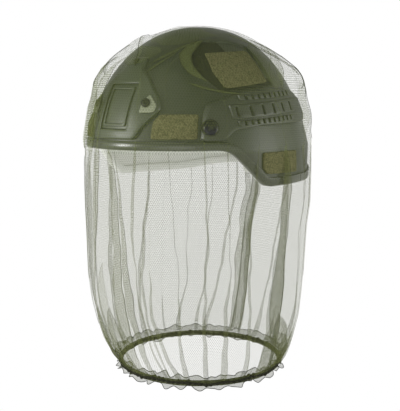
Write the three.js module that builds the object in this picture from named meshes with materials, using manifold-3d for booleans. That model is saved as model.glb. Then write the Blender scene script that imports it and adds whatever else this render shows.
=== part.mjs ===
// A netting veil worn over a hard, high-cut helmet. The helmet holds the net off the face, and the
// gathered elastic hem closes it round the neck.
//
// Units are millimetres, +Z is up, the wearer looks along -Y and the wearer's left is +X.
// Everything is first laid out on the brow rim: z = 0 is the lowest line of the rim trim at the
// brow. The last lines lower the whole object, so that its origin is the flat face of the crown
// pad, where the wearer's head carries it.

import * as THREE from 'three';
import Module from 'manifold-3d';
import { mergeVertices } from 'three/addons/utils/BufferGeometryUtils.js';

const wasm = await Module();
wasm.setup();

// ---------------------------------------------------------------- driving dimensions

// An ovoid is half-width x, front and rear half-lengths y, and crown height z above the brow.
// Its sides run nearly straight down below the brow. "slim" draws the shoulders in.
const SHELL = { halfWidth: 109, front: 131, rear: 135, crown: 125, slimFront: 0.1, slimRear: 0.25 };
const NET = { halfWidth: 117, front: 138.5, rear: 140, crown: 128.5, slimFront: 0, slimRear: 0 };
const SIDE_DROP = 300;
const AROUND = 30;
const ROWS = 18;

const GAP = 0.3;
const SHELL_WALL = 4;
const NET_WALL = 1;

// The shell's lower edge, seen from the side: level at the brow, up over the ear, low at the nape.
const EDGE = { brow: 2.5, nape: -35.5, rear: -27.5, ahead: 200 };
const TRIM = { under: 2.5, lip: 6, thick: 2 };

const PATCH_THICK = 2;
const POCKET_DEPTH = 1.8;

// A side rail's plate is cupped for its screw and carries a raised track between two rows of
// teeth. Its centre line is at a height above the brow and rises to the rear by tilt degrees.
const RAIL = { thick: 5, cup: 2.5, track: 7.2, centre: 40.7, tilt: 4, slotPitch: 15.6 };
const SHROUD = { thick: 3.6, insert: 3.4, flat: 1.5, clamp: 1.2 };

const PAD_THICK = 17;
const SEAT_Z = 101;
const CROWN_PAD_RADIUS = 42;

const BAND = { outer: -22.3, thick: 1.6, low: 8, high: 30, end: 62 };
const CRADLE = { outer: -22.6, inner: -26.3, armOuter: -24.3 };
const DIAL = { radius: 15, depth: 4.5, housingRadius: 17, housingDepth: 4, y: 117, z: -33 };

const SPLIT_Z = -3;
const HEM = { radius: 89.5, z: -241, tube: 5.5, wall: 1.2, bandTall: 6, bandThick: 1.4 };
const SKIRT_BOTTOM = HEM.z + HEM.tube + GAP;
// How far the skirt draws in from the net's size at the brow: the oval first, then the gathers.
const DRAW = { side: 4.6, front: 25, rear: 28, gathers: 18 };

// ---------------------------------------------------------------- materials

const material = (color, roughness, metalness = 0) =>
    new THREE.MeshStandardMaterial({ color, roughness, metalness });

const SHELL_MATERIAL = material(0x4d5340, 0.6);
const TRIM_MATERIAL = material(0x555a48, 0.4);
const LOOP_MATERIAL = material(0x63613f, 0.95);
const RAIL_MATERIAL = material(0x4b5140, 0.5);
const PLATE_MATERIAL = material(0x6a7058, 0.45, 0.3);
const SCREW_MATERIAL = material(0x26281f, 0.35, 0.8);
const PAD_MATERIAL = material(0xa9ab9e, 0.95);
const STRAP_MATERIAL = material(0x8c8f80, 0.6);
const NET_MATERIAL = material(0x8a8d70, 0.9);
const ELASTIC_MATERIAL = material(0x565845, 0.9);

// ---------------------------------------------------------------- solids and booleans

function toSolid(geometry) {
    geometry.deleteAttribute('normal');
    geometry.deleteAttribute('uv');
    const merged = mergeVertices(geometry, 1e-4);
    return new wasm.Manifold(new wasm.Mesh({
        numProp: 3,
        vertProperties: new Float32Array(merged.attributes.position.array),
        triVerts: new Uint32Array(merged.index.array),
    }));
}

function toGeometry(solid) {
    const mesh = solid.getMesh();
    const geometry = new THREE.BufferGeometry();
    geometry.setAttribute('position', new THREE.BufferAttribute(mesh.vertProperties, 3));
    geometry.setIndex(new THREE.BufferAttribute(mesh.triVerts, 1));
    geometry.computeVertexNormals();
    return geometry;
}

function mirroredInX(geometry) {
    const mirrored = geometry.clone().scale(-1, 1, 1);
    const index = mirrored.index.array;
    for (let i = 0; i < index.length; i += 3) {
        [index[i], index[i + 1]] = [index[i + 1], index[i]];
    }
    mirrored.computeVertexNormals();
    return mirrored;
}

// ---------------------------------------------------------------- the ovoids

// A unit direction placed on an ovoid that is grown outwards by grow.
function onOvoid(form, direction, grow) {
    const { x, y, z } = direction;
    const level = Math.hypot(x, y);
    const sideways = level > 1e-6 ? y / level : 0;
    const slim = THREE.MathUtils.lerp(form.slimFront, form.slimRear, (1 + sideways) / 2);
    const pulled = z > 0 ? level - slim * z * (1 - z) : level;
    const scale = level > 1e-6 ? pulled / level : 1;
    const length = (y < 0 ? form.front : form.rear) + grow;
    const height = z > 0 ? form.crown + grow : SIDE_DROP;
    return new THREE.Vector3((form.halfWidth + grow) * x * scale, length * y * scale, height * z);
}

const ovoidCache = new Map();

function ovoid(form, grow) {
    const key = `${form.halfWidth}/${grow}`;
    if (!ovoidCache.has(key)) {
        const geometry = new THREE.SphereGeometry(1, AROUND, ROWS).rotateX(Math.PI / 2);
        const position = geometry.attributes.position;
        const point = new THREE.Vector3();
        for (let i = 0; i < position.count; i++) {
            point.copy(onOvoid(form, point.fromBufferAttribute(position, i).normalize(), grow));
            position.setXYZ(i, point.x, point.y, point.z);
        }
        ovoidCache.set(key, toSolid(geometry));
    }
    return ovoidCache.get(key);
}

const layer = (form, inner, outer) => ovoid(form, outer).subtract(ovoid(form, inner));

// A frame on the shell's surface at a bearing from the front (degrees, towards +X) and a height:
// its origin is on the surface and its local Z is the outward normal.
function surfaceFrame(bearing, height, grow = 0) {
    const around = THREE.MathUtils.degToRad(bearing);
    const lift = Math.asin(height / SHELL.crown);
    const direction = (a, b) =>
        new THREE.Vector3(Math.cos(b) * Math.sin(a), -Math.cos(b) * Math.cos(a), Math.sin(b));
    const place = (a, b) => onOvoid(SHELL, direction(a, b), 0);
    const step = 1e-3;
    const across = place(around + step, lift).sub(place(around - step, lift)).normalize();
    const upward = place(around, lift + step).sub(place(around, lift - step)).normalize();
    const normal = new THREE.Vector3().crossVectors(across, upward).normalize();
    const matrix = new THREE.Matrix4().makeBasis(across, upward, normal);
    return matrix.setPosition(place(around, lift).addScaledVector(normal, grow));
}

// ---------------------------------------------------------------- outlines and prisms

const polygon = (points) => new THREE.Shape(points.map(([x, y]) => new THREE.Vector2(x, y)));

// A polygon with each corner rounded to the same radius.
function roundedPolygon(points, radius) {
    const corners = points.map(([x, y]) => new THREE.Vector2(x, y));
    const shape = new THREE.Shape();
    corners.forEach((corner, i) => {
        const before = corners[(i + corners.length - 1) % corners.length];
        const after = corners[(i + 1) % corners.length];
        const start = before.clone().sub(corner).setLength(radius).add(corner);
        const end = after.clone().sub(corner).setLength(radius).add(corner);
        if (i === 0) {
            shape.moveTo(start.x, start.y);
        } else {
            shape.lineTo(start.x, start.y);
        }
        shape.quadraticCurveTo(corner.x, corner.y, end.x, end.y);
    });
    return shape;
}

const rectangle = (left, low, right, high) =>
    polygon([[left, low], [right, low], [right, high], [left, high]]);

// Outlines drawn facing the helmet from a bearing, pushed through it: right on the page is +X
// from the front and +Y from the wearer's left, and up is +Z.
function prism(outlines, bearing, from = 20, to = 170) {
    const geometry = new THREE.ExtrudeGeometry(outlines, {
        depth: to - from, bevelEnabled: false, curveSegments: 2,
    });
    const facing = new THREE.Matrix4().makeBasis(
        new THREE.Vector3(1, 0, 0), new THREE.Vector3(0, 0, 1), new THREE.Vector3(0, -1, 0));
    geometry.translate(0, 0, from).applyMatrix4(facing);
    return toSolid(geometry.rotateZ(THREE.MathUtils.degToRad(bearing)));
}

const carve = (outlines, bearing, inner, outer) =>
    layer(SHELL, inner, outer).intersect(prism(outlines, bearing));

// A plain cylinder along a frame's local Z, from one height to another.
function rod(frame, radius, low, high, sides = 16) {
    const geometry = new THREE.CylinderGeometry(radius, radius, high - low, sides)
        .rotateX(Math.PI / 2).translate(0, 0, (low + high) / 2).applyMatrix4(frame);
    return toSolid(geometry);
}

// ---------------------------------------------------------------- the rim line

const rimPath = new THREE.Path()
    .moveTo(-EDGE.ahead, EDGE.brow)
    .lineTo(-78, EDGE.brow)
    .bezierCurveTo(-66, EDGE.brow, -60, -2, -54, -7.6)
    .lineTo(-30, -29.5)
    .quadraticCurveTo(-23.5, EDGE.nape, -14, EDGE.nape)
    .lineTo(60, EDGE.nape)
    .bezierCurveTo(90, EDGE.nape, 105, EDGE.rear, 125, EDGE.rear)
    .lineTo(EDGE.ahead, EDGE.rear);

// All that lies above the rim line after it is moved up by lift, square to itself.
function aboveRim(lift) {
    const line = rimPath.getPoints(4);
    const moved = line.map((point, i) => {
        const back = line[Math.max(i - 1, 0)];
        const next = line[Math.min(i + 1, line.length - 1)];
        const along = next.clone().sub(back).normalize();
        return [point.x - along.y * lift, point.y + along.x * lift];
    });
    const top = 2 * SHELL.crown;
    const region = polygon([...moved, [EDGE.ahead, top], [-EDGE.ahead, top]]);
    return prism(region, 90, -EDGE.ahead, EDGE.ahead);
}

// ---------------------------------------------------------------- where the fittings sit

const RAIL_SCREW = { bearing: 50.8, height: 20.8, head: 9, shaft: 3, headThick: 3.4 };
const WING_SCREW = { bearing: 18.7, height: 43.5, head: 4.6, shaft: 2.2, headThick: 1.6 };
const LOBE_SCREW = { bearing: 0, height: 84, head: 3.6, shaft: 2, headThick: 1.3 };

// Side outlines run from -y, the front, to +y, the rear. They fit the wearer's left.
const BROW_PATCH = { bearing: 30.2, outline: [[-24, 11], [20, 11], [20, 34.5], [-16, 34.5], [-22.5, 27]] };
const CROWN_PATCH = [[-54, 59], [3, 66], [0, 83], [-3, 98], [-53, 94], [-58, 75]];
const NAPE_PATCH = [[-22, -25], [29, -26], [27, -3.5], [-28, -3.5], [-28, -19]];
const POCKET = [[-60, 55.5], [-8, 60.5], [12, 63], [9, 85], [3, 103], [-22, 107], [-49, 106],
    [-68, 90], [-73.5, 77], [-68, 68]];
const VENT = [[-70, 80], [-64.5, 77], [-59, 91], [-63.5, 93]];
const RAIL_OUTLINE = [[-90.5, 9.3], [-72, 9.3], [-61, 19], [-30, 23.5], [42, 25.5], [58, 27],
    [66, 34], [61, 47], [50, 56], [30, 60], [10, 60], [-26, 57.5], [-42, 56], [-57, 51.5],
    [-78, 44.5], [-84.5, 31]];
const SHROUD_OUTLINE = [[-27, 11], [27, 11], [33, 23], [46, 38], [41.5, 50.5], [24, 70.5],
    [13, 78], [11, 90], [-11, 90], [-13, 78], [-24, 70.5], [-41.5, 50.5], [-46, 38], [-33, 23]];
const SHROUD_WINDOW = { half: 18.5, low: 20, high: 64 };
const CLAMP_OUTLINE = [[29, 36], [42.5, 36.5], [43.5, 43], [35, 53.5], [30, 46]];

// ---------------------------------------------------------------- shell, trim and patches

function screwHole(screw, clearance) {
    return rod(surfaceFrame(screw.bearing, screw.height), screw.shaft + clearance, -30, 30);
}

const bothSides = (solid) => {
    const geometry = toGeometry(solid);
    return solid.add(toSolid(mirroredInX(geometry)));
};

function makeShell() {
    const pocket = prism(roundedPolygon(POCKET, 3), 90).subtract(ovoid(SHELL, -POCKET_DEPTH));
    const vent = prism(roundedPolygon(VENT, 1.5), 90);
    const holes = screwHole(RAIL_SCREW, GAP).add(screwHole(WING_SCREW, GAP));
    const cuts = bothSides(pocket.add(vent).add(holes)).add(screwHole(LOBE_SCREW, GAP));
    return layer(SHELL, -SHELL_WALL, 0).intersect(aboveRim(0)).subtract(cuts);
}

function makeRimTrim() {
    const out = TRIM.thick + GAP;
    const band = layer(SHELL, -SHELL_WALL - out, out)
        .intersect(aboveRim(-TRIM.under).subtract(aboveRim(TRIM.lip)));
    const groove = layer(SHELL, -SHELL_WALL - GAP, GAP).intersect(aboveRim(-GAP));
    return band.subtract(groove);
}

const patch = (outline, bearing, sunk = 0) =>
    carve(roundedPolygon(outline, 2.5), bearing, GAP - sunk, GAP + PATCH_THICK - sunk);

// ---------------------------------------------------------------- side rails

// A strip of the rail, between distances along and across its tilted centre line.
function railStrip(from, to, low, high) {
    const tilt = THREE.MathUtils.degToRad(RAIL.tilt);
    const turn = (s, t) => [
        s * Math.cos(tilt) - t * Math.sin(tilt),
        RAIL.centre + s * Math.sin(tilt) + t * Math.cos(tilt),
    ];
    return polygon([turn(from, low), turn(to, low), turn(to, high), turn(from, high)]);
}

function railRow(count, pitch, width, low, high, first) {
    return Array.from({ length: count }, (_, i) => {
        const start = first + i * pitch;
        return railStrip(start, start + width, low, high);
    });
}

function makeRail() {
    const plate = carve(roundedPolygon(RAIL_OUTLINE, 4), 90, GAP, RAIL.thick);
    const teeth = [
        ...railRow(10, 8.2, 5.4, 10.5, 15.5, -49),
        ...railRow(11, 7.5, 4.9, -13.7, -8.7, -57.5),
    ];
    const raised = carve([railStrip(-62, 52, -6.5, 7), ...teeth], 90, RAIL.thick - 1, RAIL.track);
    const slots = prism(railRow(6, RAIL.slotPitch, 2.4, -4.5, 4.7, -57.6), 90)
        .subtract(ovoid(SHELL, RAIL.thick - 0.5));
    const frame = surfaceFrame(RAIL_SCREW.bearing, RAIL_SCREW.height);
    const cup = rod(frame, RAIL_SCREW.head + GAP, RAIL.cup, 40);
    return plate.add(raised).subtract(slots).subtract(cup).subtract(screwHole(RAIL_SCREW, GAP));
}

// ---------------------------------------------------------------- front shroud

function makeShroudPlate() {
    const { half, low, high } = SHROUD_WINDOW;
    const window = prism(rectangle(-half, low, half, high), 0);
    const holes = bothSides(screwHole(WING_SCREW, GAP)).add(screwHole(LOBE_SCREW, GAP));
    return carve(roundedPolygon(SHROUD_OUTLINE, 4), 0, GAP, SHROUD.thick)
        .subtract(window).subtract(holes);
}

const insertFrame = surfaceFrame(0, (SHROUD_WINDOW.low + SHROUD_WINDOW.high) / 2, SHROUD.flat);

// The insert follows the shell, and its middle is planed flat for a bracket to stand on.
function makeShroudInsert() {
    const { half, low, high } = SHROUD_WINDOW;
    const body = carve(rectangle(GAP - half, low + GAP, half - GAP, high - GAP), 0,
        GAP, SHROUD.insert);
    const reach = 4 * half;
    const plane = toSolid(new THREE.BoxGeometry(reach, reach, reach)
        .translate(0, 0, reach / 2).applyMatrix4(insertFrame));
    return body.subtract(plane);
}

function makeShroudClamp() {
    const low = SHROUD.thick + GAP;
    return carve(roundedPolygon(CLAMP_OUTLINE, 2), 0, low, low + SHROUD.clamp)
        .subtract(screwHole(WING_SCREW, GAP));
}

// ---------------------------------------------------------------- screws and nuts

// A pan-head screw with a cross recess, and the round nut behind the shell that it clamps.
function makeScrew(screw, seat) {
    const frame = surfaceFrame(screw.bearing, screw.height);
    const top = seat + screw.headThick;
    const tail = -SHELL_WALL - 3.4;
    const body = rod(frame, screw.head, seat, top).add(rod(frame, screw.shaft, tail, seat + 1));
    const recess = (turn) => toSolid(
        new THREE.BoxGeometry(screw.head * 1.1, screw.head * 0.24, screw.headThick)
            .rotateZ(turn).translate(0, 0, top).applyMatrix4(frame));
    return body.subtract(recess(Math.PI / 4)).subtract(recess(-Math.PI / 4));
}

function makeNut(screw, radius) {
    const frame = surfaceFrame(screw.bearing, screw.height);
    const top = -SHELL_WALL - 1.2;
    return rod(frame, radius, top - 2.2, top).subtract(screwHole(screw, GAP));
}

// ---------------------------------------------------------------- pads and head band

const FIT_PADS = {
    front_pad: { bearing: 0, outline: [[-25, 14], [25, 14], [23, 56], [-23, 56]] },
    rear_pad: { bearing: 180, outline: [[-38, 18], [38, 18], [32, 60], [-32, 60]] },
    temple_pad: { bearing: 52, outline: [[-19, 36], [22, 36], [16, 84], [-14, 84]] },
    side_pad: { bearing: 112, outline: [[-24, 6], [26, 6], [22, 60], [-20, 60]] },
};

const makeFitPad = ({ bearing, outline }) =>
    carve(roundedPolygon(outline, 8), bearing, -SHELL_WALL - PAD_THICK, -SHELL_WALL - 2 * GAP);

function makeCrownPad() {
    const post = rod(new THREE.Matrix4(), CROWN_PAD_RADIUS, SEAT_Z, SHELL.crown, 28);
    return post.intersect(ovoid(SHELL, -SHELL_WALL - 2 * GAP));
}

function makeHeadBand() {
    const sides = rectangle(-EDGE.ahead, BAND.low, BAND.end, BAND.high);
    return layer(SHELL, BAND.outer - BAND.thick, BAND.outer)
        .intersect(prism(sides, 90, -EDGE.ahead, EDGE.ahead));
}

function makeNapeCradle() {
    const plate = [[-40, 24], [-24, -4], [-20, -40], [20, -40], [24, -4], [40, 24]];
    const arms = rectangle(-EDGE.ahead, 12, EDGE.ahead, 26);
    const behind = rectangle(35, -60, EDGE.ahead, 60);
    return carve(roundedPolygon(plate, 5), 180, CRADLE.inner, CRADLE.outer)
        .add(layer(SHELL, CRADLE.inner, CRADLE.armOuter)
            .intersect(prism(arms, 180, -EDGE.ahead, EDGE.ahead))
            .intersect(prism(behind, 90, -EDGE.ahead, EDGE.ahead)));
}

// The dial's axis runs front to back through the nape, and its local Z points to the rear.
const dialFrame = new THREE.Matrix4().makeRotationX(-Math.PI / 2)
    .setPosition(0, DIAL.y, DIAL.z);

function makeDialHousing() {
    return rod(dialFrame, DIAL.housingRadius, -DIAL.housingDepth, -GAP, 24);
}

function makeFitDial() {
    const ribs = 14;
    const shape = new THREE.Shape();
    for (let i = 0; i < 2 * ribs; i++) {
        const angle = (i * Math.PI) / ribs;
        const radius = i % 2 ? DIAL.radius : DIAL.radius - 1.2;
        shape[i ? 'lineTo' : 'moveTo'](radius * Math.cos(angle), radius * Math.sin(angle));
    }
    const geometry = new THREE.ExtrudeGeometry(shape, { depth: DIAL.depth, bevelEnabled: false });
    return toSolid(geometry.applyMatrix4(dialFrame));
}

// ---------------------------------------------------------------- the veil

function makeCrownNet() {
    const above = rectangle(-EDGE.ahead, SPLIT_Z, EDGE.ahead, 2 * SHELL.crown);
    return layer(NET, -NET_WALL, 0).intersect(prism(above, 90, -EDGE.ahead, EDGE.ahead));
}

// The skirt hangs as a barrel. It keeps the helmet's oval below the nape, then turns round and
// draws in to the hem. drop runs from 0 at its top to 1 at its bottom.
function skirtSize(drop) {
    const gathered = DRAW.gathers * drop ** 7;
    return {
        halfWidth: NET.halfWidth - DRAW.side * drop - gathered,
        front: NET.front - DRAW.front * drop ** 2 - gathered,
        rear: NET.rear - DRAW.rear * drop ** 2 - gathered,
    };
}

function makeSkirtNet() {
    const levels = [0, 0.3, 0.55, 0.75, 0.88, 1];
    const top = SPLIT_Z - GAP;
    const height = (drop) => THREE.MathUtils.lerp(top, SKIRT_BOTTOM, drop);
    const outside = levels.map((drop) => new THREE.Vector2(1, height(drop)));
    const inside = levels.map((drop) => new THREE.Vector2(0.5, height(drop))).reverse();
    const profile = [...outside, ...inside, outside[0]].reverse();
    const geometry = new THREE.LatheGeometry(profile, AROUND).rotateX(Math.PI / 2);
    const position = geometry.attributes.position;
    const point = new THREE.Vector3();
    for (let i = 0; i < position.count; i++) {
        point.fromBufferAttribute(position, i);
        const around = Math.atan2(point.y, point.x);
        const grow = Math.hypot(point.x, point.y) > 0.75 ? 0 : -NET_WALL;
        const size = skirtSize((point.z - top) / (SKIRT_BOTTOM - top));
        const length = (Math.sin(around) < 0 ? size.front : size.rear) + grow;
        position.setXYZ(i, (size.halfWidth + grow) * Math.cos(around),
            length * Math.sin(around), point.z);
    }
    return toSolid(geometry);
}

// The hem is a hollow cord of netting, open along a seam at its inner top, round an elastic band.
function makeHemChannel() {
    const steps = 7;
    const open = THREE.MathUtils.degToRad(115);
    const slit = THREE.MathUtils.degToRad(24);
    const arc = (radius, turn) => Array.from({ length: steps }, (_, i) => {
        const sweep = (i / (steps - 1)) * (2 * Math.PI - 2 * slit) + slit;
        const angle = open + turn * sweep;
        return new THREE.Vector2(HEM.radius + radius * Math.cos(angle), radius * Math.sin(angle));
    });
    const section = [...arc(HEM.tube, 1), ...arc(HEM.tube - HEM.wall, 1).reverse()];
    return lathe([...section, section[0]], HEM.z);
}

function makeHemElastic() {
    const halfTall = HEM.bandTall / 2;
    const halfThick = HEM.bandThick / 2;
    const corners = [[-1, -1], [1, -1], [1, 1], [-1, 1], [-1, -1]];
    return lathe(corners.map(([x, y]) =>
        new THREE.Vector2(HEM.radius + x * halfThick, y * halfTall)), HEM.z);
}

function lathe(section, height) {
    const geometry = new THREE.LatheGeometry(section, AROUND)
        .rotateX(Math.PI / 2).translate(0, 0, height);
    return toSolid(geometry);
}

// ---------------------------------------------------------------- the assembly

const assembly = new THREE.Group();
assembly.name = 'veil_over_helmet';
assembly.position.z = -SEAT_Z;

function addGeometry(name, geometry, look) {
    const mesh = new THREE.Mesh(geometry, look);
    mesh.name = name;
    assembly.add(mesh);
}

const add = (name, solid, look) => addGeometry(name, toGeometry(solid), look);

function addPair(name, solid, look) {
    const geometry = toGeometry(solid);
    addGeometry(`${name}_left`, geometry, look);
    addGeometry(`${name}_right`, mirroredInX(geometry), look);
}

add('helmet_shell', makeShell(), SHELL_MATERIAL);
add('rim_trim', makeRimTrim(), TRIM_MATERIAL);
addPair('brow_loop_patch', patch(BROW_PATCH.outline, BROW_PATCH.bearing), LOOP_MATERIAL);
addPair('crown_loop_patch', patch(CROWN_PATCH, 90, POCKET_DEPTH), LOOP_MATERIAL);
addPair('nape_loop_patch', patch(NAPE_PATCH, 90), LOOP_MATERIAL);

addPair('side_rail', makeRail(), RAIL_MATERIAL);
addPair('rail_screw', makeScrew(RAIL_SCREW, RAIL.cup + GAP), SCREW_MATERIAL);
addPair('rail_nut', makeNut(RAIL_SCREW, 7), SCREW_MATERIAL);

add('shroud_plate', makeShroudPlate(), PLATE_MATERIAL);
add('shroud_insert', makeShroudInsert(), PLATE_MATERIAL);
addPair('shroud_clamp', makeShroudClamp(), PLATE_MATERIAL);
addPair('wing_screw', makeScrew(WING_SCREW, SHROUD.thick + SHROUD.clamp + 2 * GAP), SCREW_MATERIAL);
addPair('wing_nut', makeNut(WING_SCREW, 4.5), SCREW_MATERIAL);
add('lobe_screw', makeScrew(LOBE_SCREW, SHROUD.thick + GAP), SCREW_MATERIAL);
add('lobe_nut', makeNut(LOBE_SCREW, 4), SCREW_MATERIAL);

add('crown_pad', makeCrownPad(), PAD_MATERIAL);
add('front_pad', makeFitPad(FIT_PADS.front_pad), PAD_MATERIAL);
add('rear_pad', makeFitPad(FIT_PADS.rear_pad), PAD_MATERIAL);
addPair('temple_pad', makeFitPad(FIT_PADS.temple_pad), PAD_MATERIAL);
addPair('side_pad', makeFitPad(FIT_PADS.side_pad), PAD_MATERIAL);
add('head_band', makeHeadBand(), STRAP_MATERIAL);
add('nape_cradle', makeNapeCradle(), STRAP_MATERIAL);
add('dial_housing', makeDialHousing(), STRAP_MATERIAL);
add('fit_dial', makeFitDial(), SCREW_MATERIAL);

add('veil_crown_net', makeCrownNet(), NET_MATERIAL);
add('veil_skirt_net', makeSkirtNet(), NET_MATERIAL);
add('hem_channel', makeHemChannel(), NET_MATERIAL);
add('hem_elastic', makeHemElastic(), ELASTIC_MATERIAL);

export default assembly;
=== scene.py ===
"""Looks for the netting veil over a hard helmet.

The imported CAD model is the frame. Every shape here is laid on the same ovoid as the CAD shell, in
millimetres above the brow rim, and turned into metres in the row frame as it is placed.
"""
import math

import bmesh
import bpy
import numpy as np
from mathutils import Matrix, Vector
from mathutils.geometry import delaunay_2d_cdt


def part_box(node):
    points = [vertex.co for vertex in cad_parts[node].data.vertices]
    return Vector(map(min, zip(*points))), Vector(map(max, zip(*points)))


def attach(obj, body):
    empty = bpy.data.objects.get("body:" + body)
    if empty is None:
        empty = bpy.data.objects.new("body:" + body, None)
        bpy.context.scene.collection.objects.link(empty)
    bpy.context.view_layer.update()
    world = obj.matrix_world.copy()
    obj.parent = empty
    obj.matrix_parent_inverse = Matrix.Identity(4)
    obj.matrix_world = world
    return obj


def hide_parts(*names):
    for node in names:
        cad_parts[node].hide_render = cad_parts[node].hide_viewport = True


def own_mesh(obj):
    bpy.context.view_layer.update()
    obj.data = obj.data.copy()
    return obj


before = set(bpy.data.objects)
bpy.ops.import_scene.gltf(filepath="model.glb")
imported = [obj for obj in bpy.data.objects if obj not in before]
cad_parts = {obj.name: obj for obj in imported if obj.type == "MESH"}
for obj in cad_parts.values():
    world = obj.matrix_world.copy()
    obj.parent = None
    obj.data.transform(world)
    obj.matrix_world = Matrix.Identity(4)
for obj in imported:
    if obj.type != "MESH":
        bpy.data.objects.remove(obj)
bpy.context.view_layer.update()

MM = 0.001
# The split of the netting lies this far below the brow rim, so it gives the brow's height.
SPLIT = -3.0
BROW_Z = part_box("veil_crown_net")[0].z - SPLIT * MM

# ------------------------------------------------------------------ the ovoid and the rim line

SHELL = dict(half=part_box("helmet_shell")[1].x / MM, front=131.0, rear=135.0,
             crown=(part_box("helmet_shell")[1].z - BROW_Z) / MM, slim=(0.1, 0.25))
SIDE_DROP = 300.0
SHELL_WALL = 4.0


def pulled(level, z, sideways, slim):
    """How far out a point at height z (a share of the crown's) stands, drawn in above."""
    drawn = slim[0] + (slim[1] - slim[0]) * (1 + sideways) / 2
    return level - np.where(z > 0, drawn * z * (1 - z), 0.0)


def on_shell(bearing, height, grow=0.0):
    """Points on the grown ovoid, from a bearing off the front (towards +X) and a height in mm."""
    share = np.where(height > 0, height / (SHELL["crown"] + grow), height / SIDE_DROP)
    share = np.clip(share, -1, 1)
    sideways = -np.cos(bearing)
    out = pulled(np.sqrt(1 - share**2), share, sideways, SHELL["slim"])
    length = np.where(sideways < 0, SHELL["front"], SHELL["rear"]) + grow
    x = (SHELL["half"] + grow) * np.sin(bearing) * out
    return np.stack([x, length * sideways * out, height + 0 * x], -1)


def cast(across, height, bearing, grow):
    """Where lines along a bearing, through places on a page facing it, meet the grown ovoid."""
    side = np.array([math.cos(bearing), math.sin(bearing)])
    ahead = np.array([math.sin(bearing), -math.cos(bearing)])
    near, far = np.zeros(len(across)), np.full(len(across), 260.0)
    share = np.where(height > 0, height / (SHELL["crown"] + grow), height / SIDE_DROP)
    share = np.clip(share, -1, 1)
    for _ in range(36):
        middle = (near + far) / 2
        x = across * side[0] + middle * ahead[0]
        y = across * side[1] + middle * ahead[1]
        a = x / (SHELL["half"] + grow)
        b = y / (np.where(y < 0, SHELL["front"], SHELL["rear"]) + grow)
        level = np.hypot(a, b)
        out = pulled(np.sqrt(1 - share**2), share, b / np.maximum(level, 1e-6), SHELL["slim"])
        inside = level < out
        near, far = np.where(inside, middle, near), np.where(inside, far, middle)
    x = across * side[0] + near * ahead[0]
    y = across * side[1] + near * ahead[1]
    return np.stack([x, y, height], -1)


def placed(points):
    """Millimetres above the brow to metres in the row frame."""
    points = np.asarray(points, float) * MM
    points[..., 2] += BROW_Z
    return points


def bezier(p0, p1, p2, p3, steps=16):
    t = np.linspace(0, 1, steps)[:, None]
    p0, p1, p2, p3 = map(np.array, (p0, p1, p2, p3))
    return (1 - t)**3 * p0 + 3 * t * (1 - t)**2 * p1 + 3 * t**2 * (1 - t) * p2 + t**3 * p3


EDGE_BROW, EDGE_NAPE, EDGE_REAR = 2.5, -35.5, -27.5
RIM_LINE = np.vstack([
    [[-200, EDGE_BROW]],
    bezier((-78, EDGE_BROW), (-66, EDGE_BROW), (-60, -2), (-54, -7.6)),
    bezier((-30, -29.5), (-25.7, -33.5), (-20.3, EDGE_NAPE), (-14, EDGE_NAPE)),
    bezier((60, EDGE_NAPE), (90, EDGE_NAPE), (105, EDGE_REAR), (125, EDGE_REAR)),
    [[200, EDGE_REAR]],
])


def rim_frame(bearing):
    """Side-view place of the shell's edge at each bearing, and the direction square to it."""
    y = np.where(np.cos(bearing) > 0, SHELL["front"], SHELL["rear"]) * -np.cos(bearing)
    z = np.interp(y, RIM_LINE[:, 0], RIM_LINE[:, 1])
    step = 1.5
    rise = (np.interp(y + step, RIM_LINE[:, 0], RIM_LINE[:, 1])
            - np.interp(y - step, RIM_LINE[:, 0], RIM_LINE[:, 1])) / (2 * step)
    length = np.hypot(1, rise)
    return y, z, -rise / length, 1 / length


# ------------------------------------------------------------------ mesh helpers

def new_object(name, verts, faces, smooth=True, uv=None):
    mesh = bpy.data.meshes.new(name)
    mesh.from_pydata([tuple(v) for v in verts], [], [tuple(f) for f in faces])
    mesh.update()
    if uv is not None:
        layer = mesh.uv_layers.new(name="flat")
        loops = np.empty(len(mesh.loops), np.int32)
        mesh.loops.foreach_get("vertex_index", loops)
        layer.data.foreach_set("uv", np.asarray(uv, np.float32)[loops].ravel())
    if smooth:
        mesh.shade_smooth()
    obj = bpy.data.objects.new(name, mesh)
    bpy.context.scene.collection.objects.link(obj)
    return obj


def grid_faces(rows, columns, wrap, start=0, flip=False):
    faces = []
    for r in range(rows - 1):
        for c in range(columns if wrap else columns - 1):
            a, b = start + r * columns + c, start + r * columns + (c + 1) % columns
            face = (a, b, b + columns, a + columns)
            faces.append(face[::-1] if flip else face)
    return faces


def fan(ring, count, tip, flip=False):
    """Triangles from a closed ring of vertices to the vertex at its tip."""
    pairs = [(ring + c, ring + (c + 1) % count) for c in range(count)]
    return [(b, a, tip) if flip else (a, b, tip) for a, b in pairs]


def hoop_faces(columns, around):
    """The faces of a closed hoop, its vertices numbered round each section in turn."""
    return [(c * around + k, c * around + (k + 1) % around,
             (c + 1) % columns * around + (k + 1) % around, (c + 1) % columns * around + k)
            for c in range(columns) for k in range(around)]


def full_turn(count):
    return np.linspace(0, 2 * math.pi, count, endpoint=False)


def polar(radius, turn, height):
    """Points at a distance from the upright axis, turned from the front towards +X."""
    return np.stack([radius * np.sin(turn), -radius * np.cos(turn), height], -1)


def unit(vectors):
    return vectors / np.linalg.norm(vectors, axis=-1, keepdims=True)


def smooth(t):
    return t * t * (3 - 2 * t)


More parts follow.
